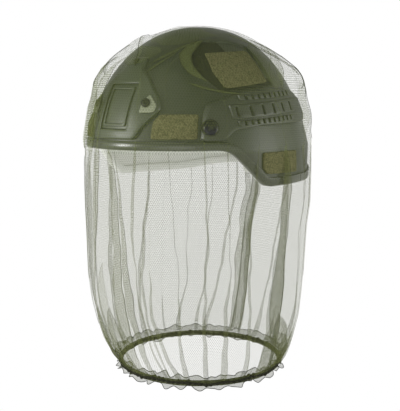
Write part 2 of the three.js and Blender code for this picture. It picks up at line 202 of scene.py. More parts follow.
def rounded(points, radius, steps=5):
    """A closed outline with each corner rounded, then sampled closely."""
    points = [np.array(p, float) for p in points]
    out = []
    for i, corner in enumerate(points):
        before, after = points[i - 1], points[(i + 1) % len(points)]
        reach = min(radius, np.linalg.norm(before - corner) / 2.05,
                    np.linalg.norm(after - corner) / 2.05)
        a = corner + (before - corner) / np.linalg.norm(before - corner) * reach
        b = corner + (after - corner) / np.linalg.norm(after - corner) * reach
        for t in np.linspace(0, 1, steps):
            out.append((1 - t)**2 * a + 2 * t * (1 - t) * corner + t**2 * b)
    return np.array(out)


def sampled(outline, spacing=1.5):
    """The outline with no gap between points wider than the spacing."""
    out = []
    for a, b in zip(outline, np.roll(outline, -1, 0)):
        count = max(1, int(math.ceil(np.linalg.norm(b - a) / spacing)))
        out += [a + (b - a) * k / count for k in range(count)]
    return np.array(out)


def inset(outline, distance):
    """Moves each point of a counter-clockwise outline inwards."""
    before, after = np.roll(outline, 1, 0), np.roll(outline, -1, 0)
    along = after - before
    along /= np.maximum(np.linalg.norm(along, axis=1, keepdims=True), 1e-9)
    return outline + np.stack([-along[:, 1], along[:, 0]], -1) * distance


def signed_area(outline):
    x, y = outline[:, 0], outline[:, 1]
    return 0.5 * np.sum(x * np.roll(y, -1) - np.roll(x, -1) * y)


def inside_outline(points, outline):
    x, y = points[:, 0], points[:, 1]
    inside = np.zeros(len(points), bool)
    for (ax, ay), (bx, by) in zip(outline, np.roll(outline, -1, 0)):
        cross = ((ay > y) != (by > y))
        with np.errstate(divide="ignore", invalid="ignore"):
            at = (bx - ax) * (y - ay) / (by - ay) + ax
        inside ^= cross & (x < at)
    return inside


def distance_to(points, outline):
    """Distance to an outline, negative inside it."""
    best = np.full(len(points), 1e9)
    for a, b in zip(outline, np.roll(outline, -1, 0)):
        ab = b - a
        t = np.clip(((points - a) @ ab) / max(ab @ ab, 1e-9), 0, 1)
        best = np.minimum(best, np.linalg.norm(points - a - t[:, None] * ab, axis=1))
    return np.where(inside_outline(points, outline), -best, best)


def plate(outline, bearing, inner, outer, edge=0.5, holes=(), cell=3.0, swell=0.0):
    """A solid plate that follows the shell: (vertices in mm, faces). Its outline is drawn facing
    the bearing, its outer edges are rounded, and swell crowns its middle, as on a pad."""
    loops = [sampled(np.asarray(outline, float))]
    if signed_area(loops[0]) < 0:
        loops[0] = loops[0][::-1]
    for hole in holes:
        hole = sampled(np.asarray(hole, float))
        loops.append(hole if signed_area(hole) < 0 else hole[::-1])
    rings = [(0.0, inner), (0.0, outer - edge), (0.3 * edge, outer - 0.3 * edge), (edge, outer)]
    verts, faces, tops, bottoms = [], [], [], []
    count = 0
    for loop in loops:
        n = len(loop)
        for moved, grow in rings:
            ring = inset(loop, moved)
            verts.append(cast(ring[:, 0], ring[:, 1], bearing, grow))
        faces += grid_faces(len(rings), n, True, count)
        bottoms.append(np.arange(count, count + n))
        tops.append(np.arange(count + 3 * n, count + 4 * n))
        count += 4 * n
    rim = [inset(loop, edge) for loop in loops]
    low, high = rim[0].min(0), rim[0].max(0)
    xs = np.arange(low[0] + cell / 2, high[0], cell)
    ys = np.arange(low[1] + cell / 2, high[1], cell)
    spots = np.array([(x, y) for x in xs for y in ys]).reshape(-1, 2)
    keep = distance_to(spots, rim[0]) < -cell * 0.45 if len(spots) else np.zeros(0, bool)
    for hole in rim[1:]:
        keep &= distance_to(spots, hole) > cell * 0.45
    spots = spots[keep]
    flat = np.vstack(rim + [spots])
    edges, start = [], 0
    for loop in rim:
        edges += [(start + i, start + (i + 1) % len(loop)) for i in range(len(loop))]
        start += len(loop)
    result = delaunay_2d_cdt([Vector(p) for p in flat], edges, [], 1, 1e-5)
    points, triangles, source = result[0], result[2], result[3]
    ids = [s[0] if s else -1 for s in source]
    centre = [np.mean([points[i][:] for i in t], 0) for t in triangles]
    solid = np.ones(len(triangles), bool)
    for hole in rim[1:]:
        solid &= ~inside_outline(np.array(centre), hole)
    top_ids, bottom_ids = np.concatenate(tops), np.concatenate(bottoms)
    depth = np.clip(-distance_to(spots, rim[0]) / 12.0, 0, 1) if len(spots) else np.zeros(0)
    crown = outer + swell * np.sin(depth * math.pi / 2)
    upper, lower = [], []
    for i, (x, y) in enumerate(spots):
        upper.append(cast(np.array([x]), np.array([y]), bearing, crown[i])[0])
        lower.append(cast(np.array([x]), np.array([y]), bearing, inner)[0])
    verts += [np.array(upper).reshape(-1, 3), np.array(lower).reshape(-1, 3)]
    edge_count = len(flat) - len(spots)

    def find(i, under):
        if i < edge_count:
            return int((bottom_ids if under else top_ids)[i])
        return count + (i - edge_count) + (len(spots) if under else 0)

    for t, is_solid in zip(triangles, solid):
        if is_solid and all(ids[i] >= 0 for i in t):
            faces.append(tuple(find(ids[i], False) for i in t))
            faces.append(tuple(find(ids[i], True) for i in reversed(t)))
    return np.vstack(verts), faces


def joined(parts):
    verts, faces, start = [], [], 0
    for v, f in parts:
        verts.append(v)
        faces += [tuple(i + start for i in face) for face in f]
        start += len(v)
    return np.vstack(verts), faces


def mirrored(part):
    v, f = part
    return v * np.array([-1, 1, 1]), [face[::-1] for face in f]


def reworked(obj, change):
    mesh = bmesh.new()
    mesh.from_mesh(obj.data)
    change(mesh)
    mesh.to_mesh(obj.data)
    mesh.free()
    return obj


def consistent(obj):
    """Makes every face look outwards."""
    return reworked(obj, lambda mesh: bmesh.ops.recalc_face_normals(mesh, faces=mesh.faces))


def dressed(obj, body, slot, replaced, *materials):
    """Gives a piece its looks and the body it rides on, and hides the node it stands for. slot is
    not used.
    """
    for material in materials:
        obj.data.materials.append(material)
    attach(obj, body)
    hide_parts(replaced)
    return obj


def finish_piece(name, part, material, slot, replaced, sharp=35):
    obj = consistent(new_object(name, placed(part[0]), part[1]))
    dressed(obj, "helmet", slot, replaced, material)
    obj.data.set_sharp_from_angle(angle=math.radians(sharp))
    return obj


# ------------------------------------------------------------------ materials

def shader(name, **values):
    material = bpy.data.materials.new(name)
    material.use_nodes = True
    tree = material.node_tree
    bsdf = settled(tree.nodes["Principled BSDF"], values)
    return material, tree.nodes, linker(tree), bsdf


def linker(tree):
    def link(source, output, target, socket):
        tree.links.new(source.outputs[output], target.inputs[socket])
    return link


def settled(made, values):
    """Sets a node's own settings, and its sockets by name or number where the key has in_."""
    for key, value in values.items():
        if key.startswith("in_"):
            socket = key[3:].replace("_", " ")
            made.inputs[int(socket) if socket.isdigit() else socket].default_value = value
        else:
            setattr(made, key, value)
    return made


def node(nodes, kind, **values):
    return settled(nodes.new(kind), values)


def srgb(red, green, blue):
    def linear(c):
        c /= 255
        return c / 12.92 if c <= 0.04045 else ((c + 0.055) / 1.055)**2.4
    return (linear(red), linear(green), linear(blue), 1.0)


def tones(nodes, dark, light, low=0.0, high=1.0):
    ramp = node(nodes, "ShaderNodeValToRGB")
    for stop, at, colour in zip(ramp.color_ramp.elements, (low, high), (dark, light)):
        stop.position, stop.color = at, colour
    return ramp


def mottled(name, dark, light, roughness, grain=900.0, bump=0.15, metallic=0.0, patch=18.0,
            distance=0.0004, gloss=0.25):
    """A moulded or coated surface: two close tones in soft patches, and a fine grain."""
    material, nodes, link, bsdf = shader(name, in_Metallic=metallic, in_Specular_IOR_Level=gloss)
    place = node(nodes, "ShaderNodeTexCoord")
    soft = node(nodes, "ShaderNodeTexNoise", in_Scale=patch, in_Detail=4.0, in_Roughness=0.6)
    ramp = tones(nodes, dark, light, 0.35, 0.65)
    fine = node(nodes, "ShaderNodeTexNoise", in_Scale=grain, in_Detail=3.0)
    relief = node(nodes, "ShaderNodeBump", in_Strength=bump, in_Distance=distance)
    rough = node(nodes, "ShaderNodeMapRange", in_To_Min=roughness - 0.06,
                 in_To_Max=roughness + 0.08)
    link(place, "Object", soft, "Vector")
    link(place, "Object", fine, "Vector")
    link(soft, "Fac", ramp, "Fac")
    link(ramp, "Color", bsdf, "Base Color")
    link(soft, "Fac", rough, "Value")
    link(rough, "Result", bsdf, "Roughness")
    link(fine, "Fac", relief, "Height")
    link(relief, "Normal", bsdf, "Normal")
    return material


def loop_pile(name, dark, light):
    """Hook-and-loop pile: speckled loops with a soft sheen."""
    material, nodes, link, bsdf = shader(name, in_Roughness=0.95, in_Specular_IOR_Level=0.1)
    place = node(nodes, "ShaderNodeTexCoord")
    loops = node(nodes, "ShaderNodeTexVoronoi", in_Scale=760.0)
    fuzz = node(nodes, "ShaderNodeTexNoise", in_Scale=330.0, in_Detail=5.0, in_Roughness=0.75)
    mix = node(nodes, "ShaderNodeMath", operation="MULTIPLY_ADD", in_1=0.5)
    ramp = tones(nodes, dark, light, 0.5, 0.88)
    relief = node(nodes, "ShaderNodeBump", in_Strength=0.8, in_Distance=0.0009)
    link(place, "Object", loops, "Vector")
    link(place, "Object", fuzz, "Vector")
    link(loops, "Distance", mix, 0)
    link(fuzz, "Fac", mix, 2)
    link(mix, "Value", ramp, "Fac")
    link(ramp, "Color", bsdf, "Base Color")
    link(mix, "Value", relief, "Height")
    link(relief, "Normal", bsdf, "Normal")
    return material


def netting(name, colour, pitch, width, thread, ground):
    """Fine knitted net on the sheet's flat coordinates (metres): three sets of threads cross at
    60 degrees. thread and ground are the cover of a thread and of the haze between threads."""
    material, nodes, link, bsdf = shader(name, in_Roughness=0.9, in_Specular_IOR_Level=0.08)
    flat = node(nodes, "ShaderNodeUVMap", uv_map="flat")
    apart = node(nodes, "ShaderNodeSeparateXYZ")
    link(flat, "UV", apart, "Vector")
    cover, result = None, "Result"
    for angle in (90.0, 30.0, -30.0):
        turn = math.radians(angle)
        along = node(nodes, "ShaderNodeMath", operation="MULTIPLY", in_1=math.cos(turn) / pitch)
        added = node(nodes, "ShaderNodeMath", operation="MULTIPLY_ADD",
                     in_1=math.sin(turn) / pitch)
        wave = node(nodes, "ShaderNodeMath", operation="PINGPONG", in_1=0.5)
        line = node(nodes, "ShaderNodeMapRange", interpolation_type="SMOOTHSTEP",
                    in_From_Min=0.9 * width / pitch, in_From_Max=0.3 * width / pitch)
        link(apart, "X", along, 0)
        link(apart, "Y", added, 0)
        link(along, "Value", added, 2)
        link(added, "Value", wave, 0)
        link(wave, "Value", line, "Value")
        if cover is None:
            cover = line
        else:
            most = node(nodes, "ShaderNodeMath", operation="MAXIMUM")
            link(cover, result, most, 0)
            link(line, "Result", most, 1)
            cover, result = most, "Value"
    alpha = node(nodes, "ShaderNodeMapRange", in_To_Min=ground, in_To_Max=thread)
    link(cover, result, alpha, "Value")
    link(alpha, "Result", bsdf, "Alpha")
    place = node(nodes, "ShaderNodeTexCoord")
    tone = node(nodes, "ShaderNodeTexNoise", in_Scale=30.0, in_Detail=3.0)
    ramp = tones(nodes, [0.88 * c for c in colour[:3]] + [1.0],
                 [1.12 * c for c in colour[:3]] + [1.0])
    link(place, "Object", tone, "Vector")
    link(tone, "Fac", ramp, "Fac")
    link(ramp, "Color", bsdf, "Base Color")
    return material


SHELL_LOOK = mottled("shell_plastic", srgb(46, 52, 39), srgb(56, 60, 47), 0.4, bump=0.2, gloss=0.4)
# A dark material that paints shade: in the front and lower part of the shell's pocket, and in the
# rail's gaps.
PAINTED_SHADE_LOOK = mottled("painted_shade", srgb(24, 25, 19), srgb(33, 34, 26), 0.7, bump=0.3)
LINER_LOOK = mottled("shell_liner", srgb(236, 237, 233), srgb(244, 245, 241), 0.8, bump=0.1)
TRIM_LOOK = mottled("trim_rubber", srgb(43, 48, 33), srgb(50, 55, 38), 0.27, bump=0.04,
                    gloss=0.8)
LOOP_LOOK = loop_pile("loop_pile", srgb(57, 56, 36), srgb(111, 108, 76))
RAIL_LOOK = mottled("rail_plastic", srgb(48, 52, 41), srgb(58, 62, 50), 0.4, bump=0.25, gloss=0.4)
PLATE_LOOK = mottled("plate_coat", srgb(54, 61, 46), srgb(65, 71, 54), 0.38, bump=0.1, gloss=0.5)
CLAMP_LOOK = mottled("clamp_coat", srgb(122, 127, 104), srgb(138, 143, 120), 0.36, bump=0.1,
                     gloss=0.5)
SCREW_LOOK = mottled("screw_black", srgb(20, 21, 18), srgb(38, 40, 34), 0.3, metallic=0.4,
                     patch=300.0, bump=0.2, gloss=0.5)
PAD_LOOK = mottled("pad_knit", srgb(206, 207, 200), srgb(222, 223, 216), 0.95, grain=1400.0,
                   bump=0.6, distance=0.0006)
STRAP_LOOK = mottled("strap_plastic", srgb(224, 225, 219), srgb(236, 237, 231), 0.6)
DIAL_LOOK = mottled("dial_plastic", srgb(206, 208, 200), srgb(222, 224, 216), 0.5)
NET_LOOK = netting("netting", srgb(94, 99, 58), 1.8 * MM, 0.27 * MM, 0.47, 0.02)
# The net over the helmet is the same netting as the skirt's, with lighter threads: a painted sheen.
CROWN_NET_SHEEN_LOOK = netting("crown_netting_sheen", srgb(102, 110, 64), 2.5 * MM, 0.26 * MM, 0.6, 0.01)
CREASE_LOOK = netting("net_crease", srgb(76, 81, 49), 1.4 * MM, 0.4 * MM, 0.78, 0.3)
HEM_LOOK = netting("hem_netting", srgb(40, 41, 31), 1.6 * MM, 0.6 * MM, 0.97, 0.75)
FRILL_LOOK = netting("frill_netting", srgb(76, 81, 50), 1.5 * MM, 0.35 * MM, 0.6, 0.2)
ELASTIC_LOOK = mottled("elastic_webbing", srgb(70, 73, 52), srgb(88, 91, 68), 0.9, bump=0.6)

# ------------------------------------------------------------------ outlines, as in the CAD

POCKET = rounded([(-60, 55.5), (-8, 60.5), (12, 63), (9, 85), (3, 103), (-22, 107), (-49, 106),
                  (-68, 90), (-73.5, 77), (-68, 68)], 3)
VENT = rounded([(-70, 80), (-64.5, 77), (-59, 91), (-63.5, 93)], 1.5)
BROW_PATCH = rounded([(-24, 11), (20, 11), (20, 34.5), (-16, 34.5), (-22.5, 27)], 2.5)
CROWN_PATCH = rounded([(-54, 59), (3, 66), (0, 83), (-3, 98), (-53, 94), (-58, 75)], 2.5)
NAPE_PATCH = rounded([(-22, -25), (29, -26), (27, -3.5), (-28, -3.5), (-28, -19)], 2.5)
RAIL_OUTLINE = rounded([(-90.5, 9.3), (-72, 9.3), (-61, 19), (-30, 23.5), (42, 25.5), (58, 27),
                        (66, 34), (61, 47), (50, 56), (30, 60), (10, 60), (-26, 57.5), (-42, 56),
                        (-57, 51.5), (-78, 44.5), (-84.5, 31)], 4)
SHROUD_OUTLINE = rounded([(-27, 11), (27, 11), (33, 23), (46, 38), (41.5, 50.5), (24, 70.5),
                          (13, 78), (11, 90), (-11, 90), (-13, 78), (-24, 70.5), (-41.5, 50.5),
                          (-46, 38), (-33, 23)], 4)
WINDOW = rounded([(-18.5, 20), (18.5, 20), (18.5, 64), (-18.5, 64)], 2)
CLAMP_OUTLINE = rounded([(29, 36), (42.5, 36.5), (43.5, 43), (35, 53.5), (30, 46)], 2)
LEFT = math.pi / 2


# ------------------------------------------------------------------ shell and trim

def make_shell():
    columns, rows = 420, 150
    bearing = full_turn(columns)
    edge = rim_frame(bearing)[1]
    top = math.pi / 2
    low = np.where(edge > 0, np.arcsin(edge / SHELL["crown"]), np.arcsin(edge / SIDE_DROP))
    share = np.linspace(0, 1, rows)[:, None]
    verts = []
    for grow in (0.0, -SHELL_WALL):
        # Heights run from the edge to just short of the crown, closer together where it is steep.
        lift = low + (top * 0.995 - low) * share
        crown = SHELL["crown"] + grow
        height = np.where(lift > 0, np.sin(lift) * crown, np.sin(lift) * SIDE_DROP)
        around = np.broadcast_to(bearing, height.shape)
        point = on_shell(around.ravel(), height.ravel(), grow)
        if grow == 0.0:
            side_view = point[:, 1:]
            sunk = np.zeros(len(point))
            for outline, depth in ((POCKET, 1.8), (VENT, 3.4)):
                gap = distance_to(side_view, outline)
                t = np.clip(0.5 - gap / 1.6, 0, 1)
                sunk = np.maximum(sunk, depth * smooth(t))
            inwards = on_shell(around.ravel(), height.ravel(), -1.0) - point
            inwards[:, 2] = -np.clip(height.ravel() / SHELL["crown"], 0, 1)
            point = point + unit(inwards) * sunk[:, None]
        verts.append(point)
        verts.append(np.array([[0, 0, crown]]))
    count = columns * rows
    faces = grid_faces(rows, columns, True)
    last = (rows - 1) * columns
    faces += fan(last, columns, count)
    second = count + 1
    faces += grid_faces(rows, columns, True, second, True)
    faces += fan(second + last, columns, second + count, True)
    faces += [(c, second + c, second + (c + 1) % columns, (c + 1) % columns)
              for c in range(columns)]
    obj = finish_piece("shell_visual", (np.vstack(verts), faces), SHELL_LOOK, "shell_plastic",
                       "helmet_shell", sharp=50)
    obj.data.materials.append(PAINTED_SHADE_LOOK)
    obj.data.materials.append(LINER_LOOK)
    centres = np.array([p.center[:] for p in obj.data.polygons]) / MM
    centres[:, 2] -= BROW_Z / MM
    normals = np.array([p.normal[:] for p in obj.data.polygons])
    side_view = centres[:, 1:]
    # Faces inside the pocket, in its front and lower part, take the dark material: painted shade of
    # the recess wall.
    within = -distance_to(side_view, POCKET)
    shaded = (within > 0.4) & (np.abs(centres[:, 0]) > 30)
    shaded &= (side_view[:, 0] < -30) | (side_view[:, 1] < 70)
    inner = np.einsum("ij,ij->i", normals, centres - np.array([0, 0, 10.0])) < 0
    for polygon, dark, lining in zip(obj.data.polygons, shaded, inner):
        polygon.material_index = 2 if lining else 1 if dark else 0


def make_trim():
    columns = 480
    bearing = full_turn(columns)
    y, z, out_y, out_z = rim_frame(bearing)
    level = np.abs(out_y) < 1e-3
    section = [(2.3, 6.0), (1.9, 6.3), (0.9, 6.3), (0.35, 5.9), (0.35, -0.4), (-4.35, -0.4),
               (-4.35, 5.9), (-5.0, 6.3), (-6.0, 6.2), (-6.3, 5.6), (-6.3, -1.0), (-5.6, -2.1),
               (-4.2, -2.5), (0.2, -2.5), (1.5, -2.1), (2.3, -1.0)]
    rings = []
    for grow, up in section:
        moved_y, moved_z = y + out_y * up, z + out_z * up
        length = np.where(moved_y < 0, SHELL["front"], SHELL["rear"])
        turn = np.arccos(np.clip(-moved_y / length, -1, 1))
        around = np.where(np.sin(bearing) >= 0, turn, -turn)
        around = np.where(level, bearing, around)
        rings.append(on_shell(around, moved_z, grow))
    verts = np.stack(rings, 1).reshape(-1, 3)
    n = len(section)
    trim = finish_piece("trim_visual", (verts, hoop_faces(columns, n)), TRIM_LOOK, "trim_rubber",
                        "rim_trim", sharp=50)
    trim.data.materials.append(LINER_LOOK)
    for polygon in trim.data.polygons:
        rows = {i % n for i in polygon.vertices}
        away = polygon.center.x < 0 and polygon.center.z < BROW_Z - 1 * MM
        pale = rows <= set(range(6, 13)) or (away and rows <= set(range(6, 15)))
        polygon.material_index = int(pale)


# ------------------------------------------------------------------ plates, patches and rails

def both(name, part, material, slot, node_name):
    return [finish_piece(f"{name}_{side}", half, material, slot, f"{node_name}_{side}")
            for side, half in (("left", part), ("right", mirrored(part)))]


RAIL_TILT, RAIL_HEIGHT = math.radians(4), 40.7


def rail_place(s, t):
    """Along and across the tilted rail to a place on its side's page."""
    return (s * math.cos(RAIL_TILT) - t * math.sin(RAIL_TILT),
            RAIL_HEIGHT + s * math.sin(RAIL_TILT) + t * math.cos(RAIL_TILT))


def rail_box(start, end, low, high, radius=0.6):
    return rounded([rail_place(start, low), rail_place(end, low), rail_place(end, high),
                    rail_place(start, high)], radius, 3)


def make_rails():
    parts = [plate(RAIL_OUTLINE, LEFT, 0.3, 5.0, edge=1.2)]
    slots = [rail_box(-57.6 + 15.6 * i, -55.2 + 15.6 * i, -4.5, 4.7) for i in range(6)]
    parts.append(plate(rail_box(-62, 52, -6.5, 7, 1.5), LEFT, 4.0, 7.2, edge=0.8, holes=slots))
    # A thin dark strip shows through the track's slots, and one along each row of teeth shows
    # between the teeth: painted shade in the gaps.
    gaps = [plate(rail_box(-60, 40, -5.6, 5.6), LEFT, 4.8, 5.25, edge=0.1)]
    for count, first, pitch, wide, low, high in ((10, -49, 8.2, 5.4, 10.5, 15.5),
                                                 (11, -57.5, 7.5, 4.9, -13.7, -8.7)):
        for i in range(count):
            start = first + pitch * i
            parts.append(plate(rail_box(start, start + wide, low, high), LEFT, 4.0, 7.2,
                               edge=0.5, cell=2.0))
        gaps.append(plate(rail_box(first + 1, first + pitch * (count - 1) + 2, low + 0.6,
                                   high - 0.6), LEFT, 4.8, 5.3, edge=0.1, cell=2.5))
    solid = sum(len(faces) for _, faces in parts)
    for rail in both("rail_visual", joined(parts + gaps), RAIL_LOOK, "rail_plastic",
                     "side_rail"):
        rail.data.materials.append(PAINTED_SHADE_LOOK)
        # The strips after the solid parts take the dark material, painted shade.
        for polygon in rail.data.polygons[solid:]:
            polygon.material_index = 1


def make_patches():
    for name, outline, bearing, sunk in (("brow", BROW_PATCH, math.radians(30.2), 0.0),
                                         ("crown", CROWN_PATCH, LEFT, 1.8),
                                         ("nape", NAPE_PATCH, LEFT, 0.0)):
        part = plate(outline, bearing, 0.3 - sunk, 2.3 - sunk, edge=0.8, swell=0.3)
        both(f"{name}_patch", part, LOOP_LOOK, "loop_fabric", f"{name}_loop_patch")


def make_shroud():
    finish_piece("shroud_visual", plate(SHROUD_OUTLINE, 0, 0.3, 3.6, edge=1.0, holes=[WINDOW]),
                 PLATE_LOOK, "plate_metal", "shroud_plate")
    lip = rounded([(-15.5, 23), (15.5, 23), (15.5, 61), (-15.5, 61)], 2)
    frame_hole = rounded([(-13, 25.5), (13, 25.5), (13, 58.5), (-13, 58.5)], 2)
    parts = [plate(inset(WINDOW, 0.3), 0, 0.3, 1.6, edge=0.3),
             plate(lip, 0, 1.4, 3.2, edge=0.6, holes=[frame_hole])]
    finish_piece("insert_visual", joined(parts), PLATE_LOOK, "plate_metal", "shroud_insert")
    both("clamp_visual", plate(CLAMP_OUTLINE, 0, 3.9, 5.1, edge=0.4, cell=2.0), CLAMP_LOOK,
         "clamp_metal", "shroud_clamp")


def surface_frame(bearing, height):
    """A matrix in mm: origin on the shell, local Z out of it."""
    def at(b, h):
        return on_shell(np.array([b]), np.array([h]))[0]
    across = at(bearing + 1e-3, height) - at(bearing - 1e-3, height)
    upward = at(bearing, height + 0.1) - at(bearing, height - 0.1)
    out = np.cross(across, upward)
    across, out = unit(across), unit(out)
    upward = np.cross(out, across)
    matrix = Matrix((across, upward, out)).transposed().to_4x4()
    matrix.translation = Vector(at(bearing, height))
    return matrix


def make_screw(name, side, bearing, height, radius, seat, thick, sides=32):
    """A pan head with a rounded edge, a washer rim and a cross recess."""
    profile = [(radius * 0.5, seat), (radius, seat), (radius, seat + 0.35 * thick),
               (radius * 0.96, seat + 0.55 * thick), (radius * 0.78, seat + 0.62 * thick),
               (radius * 0.76, seat + 0.7 * thick), (radius * 0.7, seat + 0.92 * thick),
               (radius * 0.6, seat + thick), (radius * 0.3, seat + thick * 1.03)]
    turn = full_turn(sides)
    verts = [np.stack([r * np.cos(turn), r * np.sin(turn), np.full(sides, z)], -1)
             for r, z in profile]
    verts = np.vstack(verts + [[[0, 0, seat]], [[0, 0, seat + thick * 1.04]]])
    n = len(profile) * sides
    faces = grid_faces(len(profile), sides, True) + fan(0, sides, n, True)
    faces += fan(n - sides, sides, n + 1)
    matrix = np.array(surface_frame(bearing, height))
    head = new_object(f"{name}_visual{side}", verts * MM, faces)
    for spin in (45, -45):
        bpy.ops.mesh.primitive_cube_add(size=1)
        cutter = bpy.context.active_object
        cutter.scale = (radius * 0.95 * MM, radius * 0.2 * MM, thick * 0.9 * MM)
        cutter.rotation_euler = (0, 0, math.radians(spin))
        cutter.location = (0, 0, (seat + thick * 1.04) * MM)
        cut = head.modifiers.new("recess", "BOOLEAN")
        cut.operation, cut.object, cut.solver = "DIFFERENCE", cutter, "EXACT"
        bpy.context.view_layer.objects.active = head
        bpy.ops.object.modifier_apply(modifier=cut.name)
        bpy.data.objects.remove(cutter)
    matrix[:3, 3] *= MM
    matrix[2, 3] += BROW_Z
    head.data.transform(Matrix(matrix))
    head.data.materials.clear()
    for polygon in head.data.polygons:
        polygon.material_index = 0
    head.data.set_sharp_from_angle(angle=math.radians(40))
    dressed(head, "helmet", "screw_metal", name + side, SCREW_LOOK)


def make_screws():
    for side, sign in (("_left", 1), ("_right", -1)):
        make_screw("rail_screw", side, sign * math.radians(50.8), 20.8, radius=9.0, seat=2.8,
                   thick=3.4, sides=48)
        make_screw("wing_screw", side, sign * math.radians(18.7), 43.5, radius=4.6, seat=5.4,
                   thick=1.6)
    make_screw("lobe_screw", "", 0.0, 84, radius=3.6, seat=3.9, thick=1.3)


# ------------------------------------------------------------------ pads

def make_pads():
    shapes = {
        "front_pad": (0, [(-25, 14), (25, 14), (23, 56), (-23, 56)]),
        "rear_pad": (180, [(-38, 18), (38, 18), (32, 60), (-32, 60)]),
        "temple_pad": (52, [(-19, 36), (22, 36), (16, 84), (-14, 84)]),
        "side_pad": (112, [(-24, 6), (26, 6), (22, 60), (-20, 60)]),
    }
    pads = []
    for name, (bearing, outline) in shapes.items():
        part = pad_part(rounded(outline, 9), math.radians(bearing))
        if name in ("front_pad", "rear_pad"):
            pads.append(finish_piece(f"{name}_visual", part, PAD_LOOK, "pad_fabric", name))
        else:
            pads += both(f"{name}_visual", part, PAD_LOOK, "pad_fabric", name)
    pads.append(finish_piece("crown_pad_visual", crown_pad_part(), PAD_LOOK, "pad_fabric",
                             "crown_pad"))


def pad_part(outline, bearing):
    """A foam pad against the shell's inside. Its face towards the head has rounded edges."""
    loop = sampled(outline)
    if signed_area(loop) < 0:
        loop = loop[::-1]
    back, face, edge, step, reach = -4.6, -20.5, 5.0, 2.0, 16
    rings = [(0.0, back)]
    rings += [(edge * (1 - math.cos(a)), face + edge * (1 - math.sin(a)))
              for a in np.linspace(0, math.pi / 2, 6)]
    while rings[-1][0] < reach:
        rings.append((rings[-1][0] + step, face - 0.5))
    verts, n = [], len(loop)
    centre = loop.mean(0)
    radius = np.abs(loop - centre).min(0).max()
    for moved, grow in rings:
        scale = 1 - moved / max(radius, 18)
        ring = centre + (loop - centre) * max(scale, 0.05)
        verts.append(cast(ring[:, 0], ring[:, 1], bearing, grow))
    faces = grid_faces(len(rings), n, True)
    count = len(rings) * n
    verts.append(cast(centre[:1], centre[1:], bearing, rings[-1][1]))
    verts.append(cast(centre[:1], centre[1:], bearing, back))
    faces += fan(count - n, n, count) + fan(0, n, count + 1, True)
    return np.vstack(verts), faces


def crown_pad_part():
    """A round pad whose flat underside is the head's seat."""
    seat, columns = -BROW_Z / MM, 96
    turn = full_turn(columns)
    top = [(r, None) for r in (2, 14, 26, 36, 41.5)]
    side = [(42.0, 9.0), (42.0, 5.0), (41.2, 2.6), (39.4, 0.9), (36.5, 0.1), (30, 0.0), (15, 0.0),
            (2, 0.0)]
    verts = []
    for r, rise in top + side:
        if rise is None:
            level = r / (SHELL["half"] - 5.0)
            z = (SHELL["crown"] - 5.2) * math.sqrt(max(0.0, 1 - level**2)) - 2.5 * level
        else:
            z = seat + rise
        verts.append(np.stack([r * np.cos(turn), r * np.sin(turn), np.full(columns, z)], -1))
    faces = grid_faces(len(verts), columns, True)
    count = len(verts) * columns
    verts += [[[0, 0, verts[0][0, 2]]], [[0, 0, seat]]]
    faces += fan(0, columns, count, True) + fan(count - columns, columns, count + 1)
    return np.vstack(verts), faces


# ------------------------------------------------------------------ the netting

HEM_Z, HEM_RADIUS, CORD_REACH = -241.0, 89.5, 2.2
SKIRT_END = HEM_Z + 3.0
SAMPLES = 400
# The net over the helmet in profile: (share of the half-size at the brow, height above it). At
# the front left it tents off the front plate and falls straight, and at the rear right it lies
# on the shoulder and swells over the rail.
TENT_PROFILE = [(0, 126.6), (0.12, 125.6), (0.25, 122.6), (0.36, 118.3), (0.44, 114.8),
                (0.54, 112.6), (0.597, 107.4), (0.655, 100.8), (0.725, 94.3), (0.783, 87.8),
                (0.836, 81.3), (0.868, 74.7), (0.90, 68.2), (0.918, 61.7), (0.932, 52),
                (0.953, 42), (0.962, 32), (0.98, 20), (0.993, 8), (1, SPLIT)]
SHOULDER_PROFILE = [(0, 126.6), (0.12, 125.6), (0.25, 122.8), (0.36, 118.8), (0.45, 113.8),
                    (0.54, 107.4), (0.633, 101), (0.713, 94.3), (0.785, 87.8), (0.855, 81),
                    (0.894, 74.7), (0.918, 68.2), (0.933, 61.7), (0.945, 52), (0.96, 42),
                    (0.974, 32), (0.977, 24), (0.97, 14), (0.985, 5), (1, SPLIT)]
# The skirt's half-size to the side, front and rear at each height below the brow.
SKIRT_PROFILE = [(SPLIT, 112.6, 134.3, 138.0), (-36, 112.2, 134.0, 137.8), (-66, 112, 133.6, 137),
                 (-86, 112, 132.4, 128), (-109, 112, 131.5, 123.5), (-135, 111.5, 131, 120.5),
                 (-163, 110, 127, 117.5), (-188, 108, 119.5, 113.5), (-210, 103.5, 111, 106),
                 (-224, 99, 102, 100.5), (-233, 95, 95.5, 95.5), (SKIRT_END, 90.5, 90.5, 90.5)]


def eased(values, reach):
    """A column of values run through a soft window, its ends kept."""
    kernel = np.hanning(2 * reach + 1)
    kernel /= kernel.sum()
    head = 2 * values[:1] - values[reach:0:-1]
    tail = 2 * values[-1:] - values[-2:-reach - 2:-1]
    long = np.concatenate([head, values, tail])
    return np.stack([np.convolve(long[:, k], kernel, "valid") for k in range(values.shape[1])],
                    -1)


def resampled(points, reach):
    points = np.array(points, float)
    at = np.linspace(0, len(points) - 1, SAMPLES)
    fine = np.stack([np.interp(at, np.arange(len(points)), points[:, k])
                     for k in range(points.shape[1])], -1)
    return eased(fine, reach)


TENT, SHOULDER = resampled(TENT_PROFILE, 12), resampled(SHOULDER_PROFILE, 12)
SKIRT = np.array(SKIRT_PROFILE[::-1], float)
SKIRT_Z = np.linspace(SPLIT, SKIRT_END, SAMPLES)
SKIRT_SIZE = eased(np.stack([np.interp(SKIRT_Z, SKIRT[:, 0], SKIRT[:, k])
                             for k in (1, 2, 3)], -1), 16)


